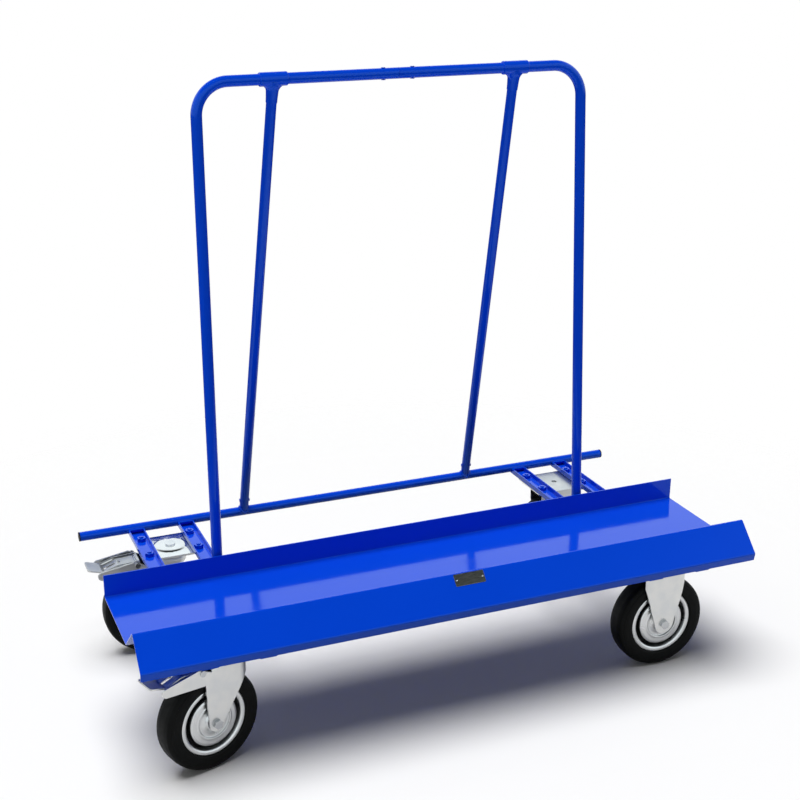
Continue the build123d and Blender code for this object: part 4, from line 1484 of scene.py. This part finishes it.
@dataclass
class KeptNodes(Assembly):
    """CAD nodes whose shape stays, by the finish that each gets: the first start of a name that fits."""

    starts: tuple[tuple[str, str], ...] = (
        ("channel_", "paint"), ("bow_joint_sleeve", "paint"), ("rear_tube_plugs", "plastic"),
        ("bearing", "ground_steel"), ("ball_ring", "ground_steel"), ("lower_races", "ground_steel"),
        ("pedal_pin", "ground_steel"), ("swivel_plates", "plate_zinc"), ("kingpins", "bright_zinc"),
        ("axle_sleeve", "bright_zinc"), ("fixed_axle", "bright_zinc"), ("", "zinc"))

    def build(self) -> None:
        """Dresses every CAD node that still shows."""
        smoothing = smoothing_group()
        for name, node in sorted(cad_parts.items()):
            if not node.hide_render:
                finish = next(finish for start, finish in self.starts if name.startswith(start))
                dress_node(name, getattr(self.finishes, finish), smoothing)


@dataclass
class Studio:
    """A pale floor and backdrop, a dark ceiling, and one soft lamp overhead.

    The backdrop is seen by the camera and by mirror-like surfaces; as a light it stays dim, so that
    the lamp shapes the trolley and its shadow.
    """

    floor_reach: float = 120.0
    backdrop_level: float = 1.25
    ceiling_level: float = 0.03
    ceiling_start: float = 0.54
    ceiling_end: float = 0.80
    left_level: float = 0.24
    right_level: float = 0.04
    far_floor_level: float = 0.85
    mirror_horizon: tuple[float, float] = (-0.06, -0.01)
    light_horizon: tuple[float, float] = (-0.04, 0.0)
    backdrop_tint: str = "FFFFFF"
    mirrored_tint: str = "F4FCFF"
    lamp_level: float = 3.0
    lamp_spread: float = 46.0
    lamp_way: tuple[float, float, float] = (-0.12, 0.03, 1.0)
    lens: float = 63.08
    sensor: float = 36.0
    place: tuple[float, float, float] = (-1.0236, -2.4853, 1.5050)
    yaw: float = 21.998
    pitch: float = 19.193
    roll: float = -0.2485

    def build_floor(self) -> None:
        """A plain floor that fades into the white backdrop far from the trolley."""
        mesh = bpy.data.meshes.new("studio_floor")
        r = self.floor_reach
        mesh.from_pydata([(-r, -r, 0), (r, -r, 0), (r, r, 0), (-r, r, 0)], [], [(0, 1, 2, 3)])
        mesh.materials.append(StudioWhite().build())
        floor = bpy.data.objects.new("studio_floor", mesh)
        bpy.context.scene.collection.objects.link(floor)

    def build_sky(self) -> None:
        """The world: a bright backdrop up to about 50 degrees, dark above, and dim as a light."""
        world = bpy.data.worlds.new("studio_sky")
        bpy.context.scene.world = world
        world.use_nodes = True
        tree = world.node_tree
        tree.nodes.clear()
        way = add_node(tree, "ShaderNodeTexCoord", {}, {}, "Generated")
        x, _, z = add_node(tree, "ShaderNodeSeparateXYZ", {}, {0: way}).node.outputs
        rays = add_node(tree, "ShaderNodeLightPath", {}, {}).node.outputs
        mirrored, below, side, ground = (
            add_node(tree, "ShaderNodeMapRange", {"interpolation_type": ease}, {
                "Value": value, "From Min": start, "From Max": end, "To Min": low, "To Max": high})
            for ease, value, start, end, low, high in (
                ("SMOOTHSTEP", z, self.ceiling_start, self.ceiling_end, self.backdrop_level,
                 self.ceiling_level),
                ("LINEAR", z, *self.mirror_horizon, self.right_level, 1.0),
                ("LINEAR", x, -1.0, 1.0, self.left_level, self.right_level),
                ("LINEAR", z, *self.light_horizon, 1.0, 0.0)))
        shown = add_node(tree, "ShaderNodeMath", {"operation": "MULTIPLY"}, {0: mirrored, 1: below})
        level = side
        for share, other in ((ground, self.far_floor_level), (rays["Is Glossy Ray"], shown),
                             (rays["Is Camera Ray"], 1.0)):
            level = add_node(tree, "ShaderNodeMix", {"data_type": "FLOAT"}, {
                0: share, 2: level, 3: other})
        tint = add_node(tree, "ShaderNodeMix", COLOUR_MIX, {
            SHARE: rays["Is Glossy Ray"], FIRST: linear(self.backdrop_tint),
            SECOND: linear(self.mirrored_tint)}, MIXED)
        glow = add_node(tree, "ShaderNodeBackground", {}, {"Color": tint, "Strength": level})
        add_node(tree, "ShaderNodeOutputWorld", {}, {"Surface": glow})

    def build_lamp(self) -> None:
        """A soft lamp almost straight above, a little to the left."""
        lamp = bpy.data.lights.new("overhead_soft_lamp", "SUN")
        lamp.energy = self.lamp_level
        lamp.angle = float(np.radians(self.lamp_spread))
        holder = bpy.data.objects.new("overhead_soft_lamp", lamp)
        holder.rotation_euler = Vector(self.lamp_way).to_track_quat("Z", "Y").to_euler()
        holder.visible_glossy = False
        bpy.context.scene.collection.objects.link(holder)

    def build_camera(self) -> None:
        """The camera at the photograph's place and angle.

        Its axes are the right, up and back directions of yaw and pitch, then turned by the roll.
        """
        yaw, pitch, roll = np.radians([self.yaw, self.pitch, self.roll])
        forward = np.array([np.sin(yaw) * np.cos(pitch), np.cos(yaw) * np.cos(pitch), -np.sin(pitch)])
        level = np.array([np.cos(yaw), -np.sin(yaw), 0.0])
        upright = np.cross(level, forward)
        right = np.cos(roll) * level + np.sin(roll) * upright
        above = -np.sin(roll) * level + np.cos(roll) * upright
        lens = bpy.data.cameras.new("photo_camera")
        lens.lens, lens.sensor_width, lens.sensor_fit = self.lens, self.sensor, "HORIZONTAL"
        camera = bpy.data.objects.new("photo_camera", lens)
        turn = Matrix(np.stack([right, above, -forward], 1).tolist()).to_4x4()
        camera.matrix_world = Matrix.Translation(self.place) @ turn
        bpy.context.scene.collection.objects.link(camera)
        bpy.context.scene.camera = camera

    def build(self) -> None:
        """Makes the floor, the sky, the lamp and the camera."""
        self.build_floor()
        self.build_sky()
        self.build_lamp()
        self.build_camera()
        bpy.context.scene.view_settings.view_transform = "Standard"
        log.info("studio: floor, sky, lamp and camera")


def main() -> None:
    """Builds the trolley's looks in order."""
    logging.basicConfig(level=logging.INFO, format="%(message)s")
    Studio().build()
    finishes = Finishes()
    tray, bow, rear = Tray(finishes), Bow(finishes), RearTube(finishes)
    braces = Braces(finishes, bow, rear)
    parts = [tray, bow, rear, braces]
    for castor in CASTORS:
        parts.append(Wheel(finishes, castor))
        if castor.swivels:
            parts.append(Pedal(finishes, castor))
    parts += [Fasteners(finishes, bow, braces), LabelPlate(finishes, tray), KeptNodes(finishes)]
    for part in parts:
        part.build()


if __name__ == "__main__":
    main()
